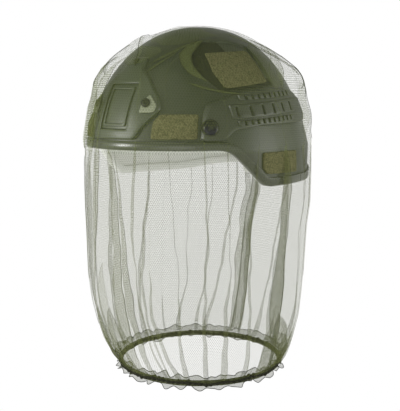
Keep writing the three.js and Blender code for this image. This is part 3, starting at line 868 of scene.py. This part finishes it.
def net_at(bearing, level):
    """The net in mm. Level runs from 0 at the crown to 1 at the split and 2 at the hem."""
    bearing, level = np.broadcast_arrays(np.asarray(bearing, float), np.asarray(level, float))
    up = np.clip(level, 0, 1) * (SAMPLES - 1)
    index = np.arange(SAMPLES)
    toward = 0.5 * (1 + np.cos(bearing - math.radians(131)))
    share, z = (np.interp(up, index, TENT[:, k]) * (1 - toward)
                + np.interp(up, index, SHOULDER[:, k]) * toward for k in (0, 1))
    down = np.clip(level - 1, 0, 1) * (SAMPLES - 1)
    side, front, rear = (np.interp(down, index, SKIRT_SIZE[:, k]) for k in (0, 1, 2))
    z = np.where(level > 1, np.interp(down, index, SKIRT_Z), z)
    over = np.clip((z + 3) / 9, 0, 1) * np.clip((52 - z) / 20, 0, 1) * (level <= 1)
    over = smooth(over) * (1.0 + 2.2 * np.sin(bearing)**4)
    length = np.where(np.cos(bearing) > 0, front, rear)
    x = (side * share + over) * np.sin(bearing)
    y = (length * share + over) * -np.cos(bearing)
    return np.stack([x, y, z], -1)


# The folds, each as (level, bearing, width) with bearing and width in degrees. Levels run from 0
# at the crown to 1 at the brow and 2 at the hem.
FOLDS = [
    [(0.3, -40, 1), (0.6, -42, 2), (1, -44, 2.6), (1.3, -43, 2.6), (1.7, -41, 3), (2, -38, 6)],
    [(0.45, -7, 6), (0.6, -10, 10), (0.75, -17, 9), (0.95, -18, 9), (1.02, -18, 2.5),
     (1.2, -24, 0.4), (1.7, -29, 0.5), (2, -28, 5)],
    [(0.7, -9, 0.3), (0.97, -9.5, 1.5), (1.01, -10.5, 6), (1.26, -14, 7), (1.5, -18.5, 4),
     (1.7, -22, 1.2), (2, -20, 6)],
    [(0.3, 0, 0.3), (0.6, -1.5, 0.5), (0.98, -1, 0.6), (1.02, 0, 3.4), (1.08, 1.6, 4.5),
     (1.2, 3, 4.2), (1.4, 3.6, 5), (1.62, 3.5, 7), (1.8, 3, 8.5), (2, 0, 9)],
    [(0.6, 5, 0.2), (1.0, 3.4, 0.3), (1.15, 6.2, 1.4), (1.4, 8, 3), (1.62, 9.8, 5),
     (1.8, 11, 6.5), (2, 11, 8)],
    [(0.45, 12, 0.4), (0.6, 15, 1.2), (0.9, 16, 0.3), (1.02, 15.5, 1.4), (1.3, 13, 1.6),
     (1.5, 14.4, 0.4), (2, 18.5, 2)],
    [(1.0, 24, 0.2), (1.18, 22.5, 1.0), (1.35, 19.5, 1.4), (1.5, 18, 1.6), (1.7, 18.2, 1.4),
     (2, 22, 3)],
    [(1.5, 22, 0.2), (1.68, 21.5, 1.6), (1.8, 22.5, 3), (2, 27, 4)],
    [(0.3, 33, 2), (0.45, 30, 3), (0.6, 29, 1), (1, 32, 0.3), (1.6, 36, 0.4), (1.8, 34, 2),
     (2, 33, 5)],
    [(0.5, 46, 0.3), (1.35, 49.5, 0.9), (1.65, 47.5, 1.2), (2, 45, 5)],
    [(0.3, 62, 3), (0.5, 56, 2), (0.8, 58, 0.6), (1.5, 60, 0.4), (1.75, 57, 2.5), (2, 56, 7)],
    [(0.5, 72, 0.6), (1.0, 74, 0.6), (1.12, 73, 1.2), (1.33, 69.5, 1.2), (1.7, 70, 1.5),
     (2, 70, 6)],
    [(0.4, 88, 4), (0.6, 84, 2), (0.95, 90, 1), (1.05, 92, 4), (1.17, 92.5, 7), (1.36, 90.5, 6),
     (1.5, 88, 7), (1.64, 86.5, 10), (1.87, 85, 10), (2, 84, 12)],
    [(0.3, 120, 4), (0.45, 111, 4), (0.6, 108, 3), (0.8, 105, 2.5), (0.92, 108, 3), (1, 107, 3),
     (1.1, 110, 1.5), (1.28, 110, 1.4), (1.4, 106, 1.4), (1.58, 108, 1.8), (1.75, 109, 4),
     (2, 103, 8)],
    [(0.3, 136, 3), (0.6, 124, 6), (0.9, 124, 4), (1.1, 123, 5), (1.5, 122, 5), (2, 121, 8)],
    [(0.5, 150, 2), (1, 146, 2), (1.4, 146, 1), (1.7, 142, 1.5), (2, 140, 7)],
    [(0.8, 164, 0.5), (1.2, 168, 1.2), (1.6, 172, 1.6), (1.85, 176, 2.6), (2, 176, 6)],
    [(0.6, 190, 1), (1, 191, 1.5), (1.17, 190, 3.2), (1.5, 191.8, 3), (1.7, 192, 3.4),
     (1.87, 191.5, 4), (2, 190, 5)],
    [(0.6, 195, 1), (1, 196, 1.5), (1.17, 197.8, 3.6), (1.5, 196.8, 4), (1.7, 198.2, 5.5),
     (1.87, 197.8, 6), (2, 197, 6)],
    [(0.9, 204, 0.4), (1.15, 204.8, 1.1), (1.33, 204.5, 1.3), (1.5, 206.5, 1.4),
     (1.7, 209.5, 1.8), (1.83, 211.5, 2.4), (2, 217, 5)],
    [(1.0, 220, 0.2), (1.5, 218.6, 0.8), (1.8, 219.5, 1.2), (2, 224, 4)],
    [(0.7, 232, 0.5), (1.6, 231.5, 0.4), (1.8, 231, 1.4), (2, 238, 4)],
    [(0.5, 252, 1.5), (1.0, 256, 0.6), (1.25, 257, 1.2), (1.5, 260, 1.4), (1.75, 264, 2.5),
     (2, 266, 6)],
    [(0.5, 282, 1.5), (1.0, 283, 2), (1.4, 285, 3), (1.8, 287, 4), (2, 290, 7)],
    [(0.5, 300, 2), (1.0, 299, 1.5), (1.4, 301, 1.5), (1.8, 305, 2.5), (2, 306, 6)],
]
CREASES = 18
CROWN_ROWS, SKIRT_ROWS = 84, 130
# Columns of plain netting all round, between the folds.
PLAIN_COLUMNS = 460
# The tallest fold in mm, and how far the skirt's folds wander to the side, in degrees.
TALLEST, WANDER = 1.5, 1.9
# A fold has three legs of five columns each, neighbours sharing one.
LEGS = 5
FOLD_COLUMNS = 3 * LEGS - 2
# The flat length round the net with its folds left out, and round the hem for each radian, in mm.
NET_ROUND, HEM_ROUND = 760, 160


def all_folds():
    """The drawn folds and fine creases between them, in order round the net from bearing 0."""
    folds = [[np.array(k) for k in zip(*f)] for f in FOLDS]
    drawn = list(folds)
    draw = np.random.default_rng(5)
    for k in range(CREASES):
        place = 360 * (k + draw.uniform(0.15, 0.85)) / CREASES - 45
        begin = draw.choice([1.2, 1.5, 1.6, 1.7])
        top = draw.uniform(0.2, 0.45)
        apart = draw.uniform(2.0, 4.5)
        crowded = any(abs((np.interp(level, f[0], f[1]) - place + 180) % 360 - 180)
                      < np.interp(level, f[0], f[2]) / 2 + 2.2
                      for f in drawn for level in (1.1, 1.5, 1.85, 2.0))
        if not crowded:
            folds.append([np.array([begin, (begin + 2) / 2, 1.85, 2.0]),
                          place + np.cumsum(draw.normal(0, 0.8, 4)),
                          np.array([0.08, top, top + draw.uniform(0.2, 1.2), apart])])
    return sorted(folds, key=lambda f: np.interp(1.3, f[0], f[1]))


def twist(level):
    """Over the crown the folds swing round towards the rear left."""
    t = np.clip((0.52 - level) / 0.36, 0, 1)
    return 38 * smooth(t)


# Netting folded over itself above the brow. A tuck is its number of layers and its two long
# edges, each as (bearing, level).
TUCKS = [
    (1, [(84, 0.24), (82, 0.34), (79, 0.45), (80, 0.56), (82, 0.66)],
     [(124, 0.26), (111, 0.36), (100, 0.45), (95, 0.56), (93, 0.66)]),
    (1, [(98, 0.26), (96, 0.36), (91, 0.45), (90, 0.56), (90, 0.66)],
     [(124, 0.26), (111, 0.36), (100, 0.45), (95, 0.56), (93, 0.66)]),
    (3, [(46, 0.28), (37, 0.35), (33, 0.42), (36, 0.5), (41, 0.58), (49, 0.635)],
     [(53, 0.29), (45, 0.35), (41, 0.42), (42, 0.5), (46, 0.57), (52, 0.63)]),
    (3, [(40, 0.645), (47, 0.672), (56, 0.69), (68, 0.7)],
     [(41, 0.632), (48, 0.659), (57, 0.677), (68, 0.687)]),
    (1, [(0, 0.3), (-6, 0.17), (-10, 0.09), (46, 0.14), (63, 0.23)],
     [(12, 0.36), (20, 0.355), (31, 0.35), (42, 0.31), (60, 0.26)]),
    (2, [(17, 0.5), (25, 0.425), (33, 0.36), (44, 0.3)],
     [(19, 0.51), (27, 0.437), (35, 0.372), (46, 0.31)]),
    (2, [(17, 0.57), (24, 0.48), (32, 0.39)], [(18.5, 0.575), (25.5, 0.487), (33.5, 0.397)]),
    (1, [(-8, 0.36), (2, 0.36), (12, 0.37), (24, 0.36)],
     [(-6, 0.5), (4, 0.52), (12, 0.5), (18, 0.46)]),
    (1, [(108, 0.58), (106, 0.7), (104, 0.8), (104, 0.92)],
     [(118, 0.56), (117, 0.7), (116, 0.8), (113, 0.92)]),
    (1, [(-50, 0.42), (-43, 0.6), (-48, 0.78), (-44, 0.99)],
     [(-24, 0.4), (-13, 0.58), (-20, 0.78), (-12, 0.99)]),
    (2, [(-40, 0.5), (-46, 0.66), (-40, 0.82), (-38, 0.99)],
     [(-16, 0.46), (-22, 0.62), (-14, 0.8), (-20, 0.99)]),
    (1, [(-50, 0.34), (-38, 0.42), (-26, 0.52), (-16, 0.6)],
     [(-48, 0.31), (-36, 0.39), (-24, 0.5), (-14, 0.58)]),
    (1, [(-56, 0.44), (-44, 0.56), (-33, 0.68)], [(-52, 0.41), (-41, 0.54), (-31, 0.67)]),
    (1, [(-30, 0.22), (-12, 0.3), (4, 0.42), (8, 0.52)],
     [(-24, 0.2), (-8, 0.285), (7, 0.41), (10, 0.52)]),
    (2, [(70, 0.2), (88, 0.3), (104, 0.42), (114, 0.54)],
     [(76, 0.19), (93, 0.29), (109, 0.41), (118, 0.53)]),
    (1, [(96, 0.24), (116, 0.36), (130, 0.5), (134, 0.64)],
     [(100, 0.235), (120, 0.355), (134, 0.49), (138, 0.63)]),
    (1, [(128, 0.34), (122, 0.46), (124, 0.58), (119, 0.7)],
     [(131, 0.34), (125.5, 0.46), (127, 0.58), (121, 0.7)]),
    (1, [(140, 0.42), (128, 0.52), (120, 0.6), (112, 0.64)],
     [(141, 0.44), (129, 0.54), (121, 0.615), (113, 0.65)]),
    (1, [(136, 0.6), (127, 0.68), (122, 0.8), (124, 0.94)],
     [(139, 0.6), (130, 0.69), (125, 0.8), (128, 0.94)]),
]
# The same below the brow.
SKIRT_TUCKS = [
    (2, [(-10, 1.66), (-13, 1.85), (-16, 1.985)], [(-2, 1.68), (-1, 1.85), (0, 1.985)]),
    (1, [(-12, 1.45), (-17, 1.75), (-24, 1.98)], [(-6, 1.5), (-6, 1.75), (-8, 1.98)]),
    (3, [(-24, 1.7), (-30, 1.85), (-38, 1.985)], [(-17, 1.68), (-16, 1.85), (-17, 1.985)]),
    (3, [(84, 1.72), (86, 1.86), (88, 1.985)], [(94, 1.72), (102, 1.86), (114, 1.985)]),
    (2, [(81, 1.8), (79, 1.9), (78, 1.985)], [(97, 1.8), (106, 1.9), (110, 1.985)]),
    (2, [(89, 1.04), (87.5, 1.35), (82, 1.62), (80, 1.85)],
     [(95, 1.04), (92, 1.35), (91, 1.62), (90, 1.85)]),
    (3, [(190.5, 1.02), (190.5, 1.4), (191, 1.7), (190, 1.985)],
     [(196, 1.02), (196, 1.4), (197, 1.7), (198, 1.985)]),
    (1, [(-44, 1.02), (-42, 1.3), (-40, 1.6)], [(-38, 1.02), (-38, 1.3), (-37, 1.6)]),
    (2, [(-57, 1.02), (-55, 1.4), (-50, 1.85)], [(-47, 1.02), (-46, 1.4), (-44, 1.85)]),
    (2, [(-37, 1.1), (-34, 1.45), (-33, 1.8)], [(-30, 1.1), (-27, 1.45), (-27, 1.8)]),
    (1, [(118, 1.02), (117, 1.3), (117, 1.6)], [(126, 1.02), (126, 1.3), (126, 1.6)]),
]
TUCK_STRIPS, TUCK_ROWS = 13, 60


def tuck_edges(lines, t):
    """A tuck's two long edges as (bearing, level), drawn together towards its ends."""
    edges = []
    for line in lines:
        line = resampled(line, 40)
        edges.append(np.stack([np.interp(t * (SAMPLES - 1), np.arange(SAMPLES), line[:, k])
                               for k in (0, 1)], -1))
    # It tapers at both ends, unless it runs on into the hem.
    tapered = np.minimum(t, 1 - t) if edges[0][-1, 1] < 1.9 else t
    ends = np.clip(tapered / 0.3, 0.02, 1)
    ends = (ends * (2 - ends))[:, None]
    middle = (edges[0] + edges[1]) / 2
    return [middle + (edge - middle) * ends for edge in edges]


def tuck_layer(edges, t, across, layer):
    """One layer of a tuck, a little off the net: its points and flat coordinates, in mm."""
    spot = edges[0][:, None] * (1 - across) + edges[1][:, None] * across
    point = net_at(np.radians(spot[..., 0]), spot[..., 1])
    edge = np.minimum(across, 1 - across)[0, :, 0] * 2
    lift = 0.8 + 0.3 * layer + 0.7 * np.exp(-(edge / 0.16)**2) * (layer == 0)
    lift = lift[None, :] * np.sin(np.pi * np.clip(t * 6, 0, 0.5))[:, None]
    out = point - np.array([0, 0, 30.0])
    out[..., 2] = np.where(spot[..., 1] > 1, 0, out[..., 2])
    point = point + unit(out) * lift[..., None]
    middle = point[:, (TUCK_STRIPS + 1) // 2]
    along = np.cumsum(np.linalg.norm(np.diff(middle, axis=0, prepend=middle[:1]), axis=1))
    wide = np.linalg.norm(point[:, -1] - point[:, 0], axis=-1)
    flat = np.stack([(across[..., 0] - 0.5) * wide[:, None] + 0.4 * layer,
                     np.broadcast_to(-along[:, None], point.shape[:2])], -1)
    return point, flat


def make_tucks(tucks):
    """Tucks of one or more layers. The lowest layer is the widest, and its edges are rolled."""
    t = np.linspace(0, 1, TUCK_ROWS)
    parts, flats = [], []
    for layers, *lines in tucks:
        edges = tuck_edges(lines, t)
        halfway = np.array([edge[TUCK_ROWS // 2] for edge in edges])
        wide = np.linalg.norm(np.diff(net_at(np.radians(halfway[:, 0]), halfway[:, 1]), axis=0))
        rim = min(0.2, 0.7 / wide)
        strips = np.concatenate([[0], np.linspace(rim, 1 - rim, TUCK_STRIPS - 1), [1]])
        for layer in range(layers):
            across = (0.5 + (strips - 0.5) * (1 - 0.06 * layer))[None, :, None]
            point, flat = tuck_layer(edges, t, across, layer)
            parts.append((point.reshape(-1, 3), grid_faces(*point.shape[:2], False)))
            flats.append(flat.reshape(-1, 2))
    return *joined(parts), np.vstack(flats) * MM


def fold_places(folds, level):
    """Each fold's middle and half-width in radians, and its height in mm, at a level."""
    at = min(2.0, 1 + (level - 1) * 1.04) if level > 1 else level
    centre = np.array([np.interp(at, f[0], f[1]) for f in folds])
    wide = np.array([np.interp(at, f[0], f[2], left=0.08) for f in folds])
    if level > 1.05:
        waver = WANDER * (level - 1.05) * (1.999 - level)
        centre = centre + waver * np.sin(27 * level + 2.3 * np.arange(len(folds)))
        centre = centre + 0.35 * waver * np.sin(61 * level + 1.1 * np.arange(len(folds)))
    # The tight netting over the helmet keeps its folds only at the front left.
    tight = 0.25 + 0.75 * np.clip((level - 0.93) / 0.07, 0, 1)
    wide = wide * np.where((centre > -35) & (centre < -5), 1, tight)
    if level < 0.3:
        wide = wide * max(0.05, level / 0.3)
    # Only a few folds stay wide down to the cord; the rest close to thin lines.
    closing = 1 - 0.4 * np.clip((level - 1.62) / 0.15, 0, 1)
    near = (centre > 8) & (centre < 78)
    wide = wide * np.where(near | ((centre > 145) & (centre < 300)), closing, 1)
    # Neighbouring folds are kept apart: first moved, then narrowed.
    for _ in range(3):
        ahead = np.roll(centre, -1)
        ahead[-1] += 360
        short = 0.3 + 0.5 * (wide + np.roll(wide, -1)) - (ahead - centre)
        push = np.clip(short, 0, 1.0) / 2
        centre = centre - push + np.roll(push, 1)
    ahead = np.roll(centre, -1)
    ahead[-1] += 360
    fits = np.clip((ahead - centre - 0.25) / (0.5 * (wide + np.roll(wide, -1))), 0.02, 1)
    half = np.radians(0.5 * wide * np.minimum(fits, np.roll(fits, 1)))
    centre = np.radians(centre + twist(level))
    size = np.hypot(*net_at(centre, level)[:, :2].T)
    return centre, half, np.minimum(TALLEST, 0.3 + 0.12 * 2 * half * size)


def fold_section(centre, half, height, lean, share):
    """The bearing and lift of each column of a row, out and back through every fold."""
    leg = np.array([0, 0.07, 0.5, 0.93, 1.0])
    bearing, lift = [], []
    for i in range(len(centre)):
        a, b = centre[i] - half[i], centre[i] + half[i]
        bearing += [a + (b - a) * leg, b + (a - b) * leg[1:], a + (b - a) * leg[1:]]
        steps = [leg / 3, (1 + leg[1:]) / 3, (2 + leg[1:]) / 3]
        if lean[i] < 0:
            steps = [1 - s for s in steps]
        lift += [height[i] * s for s in steps]
        following = (i + 1) % len(centre)
        c = centre[following] - half[following] + (2 * math.pi if following == 0 else 0)
        t = np.linspace(0, 1, share[i] + 1)[1:-1]
        bearing.append(b + (c - b) * t)
        end = 0.0 if lean[following] > 0 else height[following]
        begin = height[i] if lean[i] > 0 else 0.0
        lift.append(begin + (end - begin) * t)
    return np.concatenate(bearing), np.concatenate(lift)


def net_row(bearing, lift, level, waves):
    """A row's points in mm, with its folds, slow waves, and ruffles where the hem gathers it."""
    point = net_at(bearing, level)
    drop = max(0.0, level - 1)
    swell = sum(a * np.sin(n * bearing + p + 2.5 * drop * math.sin(q)) for n, p, q, a in waves)
    loose = 1.2 * math.sin(math.pi * min(1.0, drop)) * min(1.0, max(0.0, (drop - 0.25) / 0.2))
    lumps = 0.35 * (np.sin(9 * bearing + 5 * level) + 1) * math.sin(math.pi * min(1, level))
    gather = np.clip((drop - 0.8) / 0.2, 0, 1)**1.5
    ruffle = gather * (2.2 * np.sin(52 * bearing + 2 * np.sin(9 * bearing))
                       + 1.2 * np.sin(83 * bearing + 1.0))
    reach = np.hypot(point[:, 0], point[:, 1])
    outwards = point[:, :2] / np.maximum(reach, 1e-6)[:, None]
    moved = lift * min(1.0, level / 0.1) + swell * loose + ruffle + (lumps if level < 1 else 0)
    point[:, :2] += outwards * moved[:, None]
    if level < 1:
        point[:, 2] += lift * 0.5 * (1 - level) * min(1.0, level / 0.1)
    return point


def laid_flat(point, first, middle, anchors):
    """How far along the flat sheet each column of a row lies, in mm. Each plain panel keeps its
    own middle, so the mesh runs true down the panel."""
    steps = np.linalg.norm(np.diff(point, axis=0, append=point[:1]), axis=1)
    length = np.concatenate([[0], np.cumsum(steps)])
    flat = np.empty(len(point) + 1)
    for low, high, centre, anchor in zip(first, [*first[1:], len(point)], middle, anchors):
        span = np.arange(low + LEGS + 2, min(high + LEGS, len(flat)))
        flat[span] = length[span] - length[centre] + anchor
    wrap = np.arange(0, LEGS + 2)
    flat[wrap] = length[wrap] + length[-1] - length[middle[-1]] + anchors[-1] - NET_ROUND
    for low in first[1:]:
        # The middle leg of a fold joins the two panels.
        a, b = low + LEGS - 1, low + LEGS + 2
        flat[a:b + 1] = np.linspace(flat[a], flat[b], b - a + 1)
    flat[-1] = flat[0] + NET_ROUND
    return flat


def net_piece(name, grid, flat, bunched, look, node_name, tucks):
    """One sheet of the net from its rows, closed all round, with its tucks laid on it."""
    columns = grid.shape[1]
    closed = np.concatenate([grid, grid[:, :1]], 1)
    obj = new_object(name, placed(closed.reshape(-1, 3)),
                     grid_faces(len(grid), columns + 1, False), uv=flat.reshape(-1, 2))
    for index, polygon in enumerate(obj.data.polygons):
        polygon.material_index = int(index % columns in bunched)
    reworked(obj, lambda mesh: bmesh.ops.remove_doubles(mesh, verts=mesh.verts, dist=1e-6))
    consistent(obj)
    verts, faces, uv = tucks
    extra = new_object("tucks", placed(verts), faces, uv=uv)
    for index, polygon in enumerate(extra.data.polygons):
        polygon.material_index = int(index % TUCK_STRIPS in (0, TUCK_STRIPS - 1))
    reworked(obj, lambda mesh: mesh.from_mesh(extra.data))
    bpy.data.objects.remove(extra)
    obj.data.shade_smooth()
    return dressed(obj, "helmet", "netting", node_name, look, CREASE_LOOK)


def make_net():
    folds = all_folds()
    levels = np.concatenate([np.linspace(0, 1, CROWN_ROWS),
                             1 + np.linspace(0, 1, SKIRT_ROWS + 1)[1:]])
    starts = np.array([np.interp(1.3, f[0], f[1]) for f in folds])
    gaps = np.diff(np.append(starts, starts[0] + 360))
    share = np.maximum(3, np.round(PLAIN_COLUMNS * gaps / 360)).astype(int)
    lean = np.where(np.arange(len(folds)) % 2, 1, -1)
    draw = np.random.default_rng(11)
    waves = [(n, draw.uniform(0, 6.28), draw.uniform(0, 6.28), draw.uniform(0.3, 1.0) / n**0.5)
             for n in (3, 5, 7, 9, 13, 17, 23)]
    # The first column of each fold, and the middle column of the plain panel after it.
    first = np.concatenate([[0], np.cumsum(FOLD_COLUMNS + share - 1)[:-1]])
    middle = first + FOLD_COLUMNS - 1 + share // 2
    anchors = np.cumsum(gaps) / 360 * NET_ROUND
    rows, flats = [], []
    for level in levels:
        bearing, lift = fold_section(*fold_places(folds, level), lean, share)
        rows.append(net_row(bearing, lift, level, waves))
        flats.append(laid_flat(rows[-1], first, middle, anchors))
    grid, along = np.stack(rows), np.stack(flats)
    down = np.linalg.norm(np.diff(grid, axis=0), axis=2).mean(1)
    down = np.concatenate([[0], np.cumsum(down)])
    flat = np.stack([along, np.broadcast_to(-down[:, None], along.shape)], -1) * MM
    # The strips of netting beside the front edge of each fold, where its layers bunch.
    bunched = {int(f) + k for f in first for k in (LEGS - 2, LEGS - 1)}
    upper, lower = slice(0, CROWN_ROWS), slice(CROWN_ROWS - 1, None)
    # The net over the helmet takes the lighter netting, a painted sheen.
    return (net_piece("net_over_helmet", grid[upper], flat[upper], bunched, CROWN_NET_SHEEN_LOOK,
                      "veil_crown_net", make_tucks(TUCKS)),
            net_piece("net_skirt", grid[lower], flat[lower], bunched, NET_LOOK,
                      "veil_skirt_net", make_tucks(SKIRT_TUCKS)))


def ring_wave(turn, seed, terms):
    draw = np.random.default_rng(seed)
    return sum(a * np.sin(n * turn + draw.uniform(0, 6.28) + 1.5 * np.sin(
        draw.integers(3, 9) * turn + draw.uniform(0, 6.28))) for n, a in terms)


def tube(path, radius, sides=6):
    """A closed tube along a closed path, as (vertices, faces)."""
    along = unit(np.roll(path, -1, 0) - np.roll(path, 1, 0))
    across = unit(np.cross(along, [0, 0, 1.0]))
    upward = np.cross(across, along)
    angle = 2 * math.pi * np.arange(sides) / sides
    verts = (path[:, None] + radius * np.cos(angle)[None, :, None] * across[:, None]
             + radius * np.sin(angle)[None, :, None] * upward[:, None]).reshape(-1, 3)
    return verts, hoop_faces(len(path), sides)


def make_cord(turn, wander, around=14):
    """The cord of gathered netting round the elastic."""
    pleat = ring_wave(turn, 3, [(96, 0.6), (61, 0.4), (23, 0.35)])
    rings = []
    for k in range(around):
        angle = 2 * math.pi * k / around
        radius = HEM_RADIUS + (CORD_REACH + pleat * 0.7) * math.cos(angle)
        height = HEM_Z + wander + (CORD_REACH + pleat) * math.sin(angle)
        rings.append(polar(radius, turn, height))
    uv = np.stack([np.repeat(turn * HEM_ROUND, around),
                   np.tile(np.arange(around) * 1.6, len(turn))], -1) * MM
    cord = new_object("hem_cord", placed(np.stack(rings, 1).reshape(-1, 3)),
                      hoop_faces(len(turn), around), uv=uv)
    return dressed(consistent(cord), "hem", "netting", "hem_channel", HEM_LOOK)


def make_frill(name, turn, wander, up, deep, flare, seed, rows=9):
    """A frill of netting from the cord, above it where up is 1 and below it where up is -1, with
    a rolled free edge."""
    wave = ring_wave(turn, seed, [(37, 1.7), (23, 1.4), (58, 0.7)])
    scallop = ring_wave(turn, seed + 20, [(29, 1.2), (19, 1.0), (47, 0.7)])
    levels = []
    for r in range(rows):
        t = r / (rows - 1)
        radius = HEM_RADIUS + CORD_REACH + wave * t**0.8 + flare * t
        height = HEM_Z + wander + up * (1.5 + (deep + scallop - 1.5) * t)
        levels.append(polar(radius, turn, height))
    size = (rows, len(turn))
    flat = np.stack([np.broadcast_to(turn * HEM_ROUND, size),
                     np.broadcast_to(np.linspace(0, deep, rows)[:, None], size)], -1)
    edge = tube(levels[-1], 0.36)
    verts, faces = joined([(np.vstack(levels), grid_faces(*size, True)), edge])
    frill = new_object(name, placed(verts), faces,
                       uv=np.vstack([flat.reshape(-1, 2), edge[0][:, :2]]) * MM)
    frill.data.materials.append(FRILL_LOOK)
    frill.data.materials.append(HEM_LOOK)
    for polygon in frill.data.polygons:
        polygon.material_index = int(polygon.vertices[0] >= rows * len(turn))
    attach(frill, "hem")
    return frill


def make_hem():
    turn = full_turn(1200)
    wander = ring_wave(turn, 4, [(7, 0.8), (11, 0.6), (17, 0.4)])
    cord = make_cord(turn, wander)
    return cord, [make_frill("frill_low", turn, wander, -1, deep=4.5, flare=1.0, seed=8),
                  make_frill("frill_high", turn, wander, 1, deep=8.5, flare=1.5, seed=9)]


# ------------------------------------------------------------------ CAD nodes that stay

def dress_cad_nodes():
    for look, names in ((SCREW_LOOK, ("rail_nut_left", "rail_nut_right", "wing_nut_left",
                                      "wing_nut_right", "lobe_nut")),
                        (STRAP_LOOK, ("head_band", "nape_cradle", "dial_housing")),
                        (DIAL_LOOK, ("fit_dial",)), (ELASTIC_LOOK, ("hem_elastic",))):
        for obj in (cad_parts[name] for name in names):
            obj.data.materials.clear()
            obj.data.materials.append(look)
            soft = obj.modifiers.new("edges", "BEVEL")
            soft.width, soft.segments, soft.limit_method = 0.4 * MM, 2, "ANGLE"
            soft.angle_limit = math.radians(40)


# ------------------------------------------------------------------ stage

def make_stage():
    scene = bpy.context.scene
    world = bpy.data.worlds.new("studio")
    world.use_nodes = True
    # White all round the veil, falling off to grey overhead.
    sky, link = world.node_tree.nodes, linker(world.node_tree)
    place = node(sky, "ShaderNodeTexCoord")
    apart = node(sky, "ShaderNodeSeparateXYZ")
    fall = node(sky, "ShaderNodeMapRange", in_From_Min=0.2, in_From_Max=0.75, in_To_Min=1.0,
                in_To_Max=0.3)
    link(place, "Generated", apart, "Vector")
    link(apart, "Z", fall, "Value")
    link(fall, "Result", sky["Background"], "Strength")
    sky["Background"].inputs["Color"].default_value = (1, 1, 1, 1)
    scene.world = world
    for name, place, size, power in (("key", (-0.68, -1.45, 0.25), 0.5, 19.0),
                                     ("side", (1.4, 0.95, 0.05), 0.8, 11.0),
                                     ("low", (0.8, -1.05, -0.2), 0.9, 2.5),
                                     ("top", (0.3, -0.9, 1.4), 1.0, 2.5)):
        light = bpy.data.lights.new(name, "AREA")
        light.shape, light.size, light.energy = "DISK", size, power
        lamp = bpy.data.objects.new(name, light)
        lamp.location = place
        lamp.rotation_euler = (Vector((0, 0, -0.1)) - Vector(place)).to_track_quat(
            "-Z", "Y").to_euler()
        scene.collection.objects.link(lamp)
    scene.view_settings.view_transform = "Standard"
    scene.view_settings.look = "None"
    scene.cycles.transparent_max_bounces = 64
    scene.cycles.max_bounces = 8

    azimuth, pitch, distance = math.radians(41), math.radians(7.8), 0.88
    camera = bpy.data.objects.new("camera", bpy.data.cameras.new("camera"))
    camera.data.sensor_fit, camera.data.sensor_width, camera.data.lens = "HORIZONTAL", 36.0, 72.0
    camera.location = (distance * math.sin(azimuth), -distance * math.cos(azimuth),
                       BROW_Z + 52 * MM)
    camera.rotation_euler = (math.pi / 2 - pitch, 0, azimuth)
    scene.collection.objects.link(camera)
    scene.camera = camera


make_stage()
make_shell()
make_trim()
make_patches()
make_rails()
make_shroud()
make_screws()
make_pads()
dress_cad_nodes()
hem_cord, hem_frills = make_hem()
net_crown, net_skirt = make_net()

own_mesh(net_skirt)
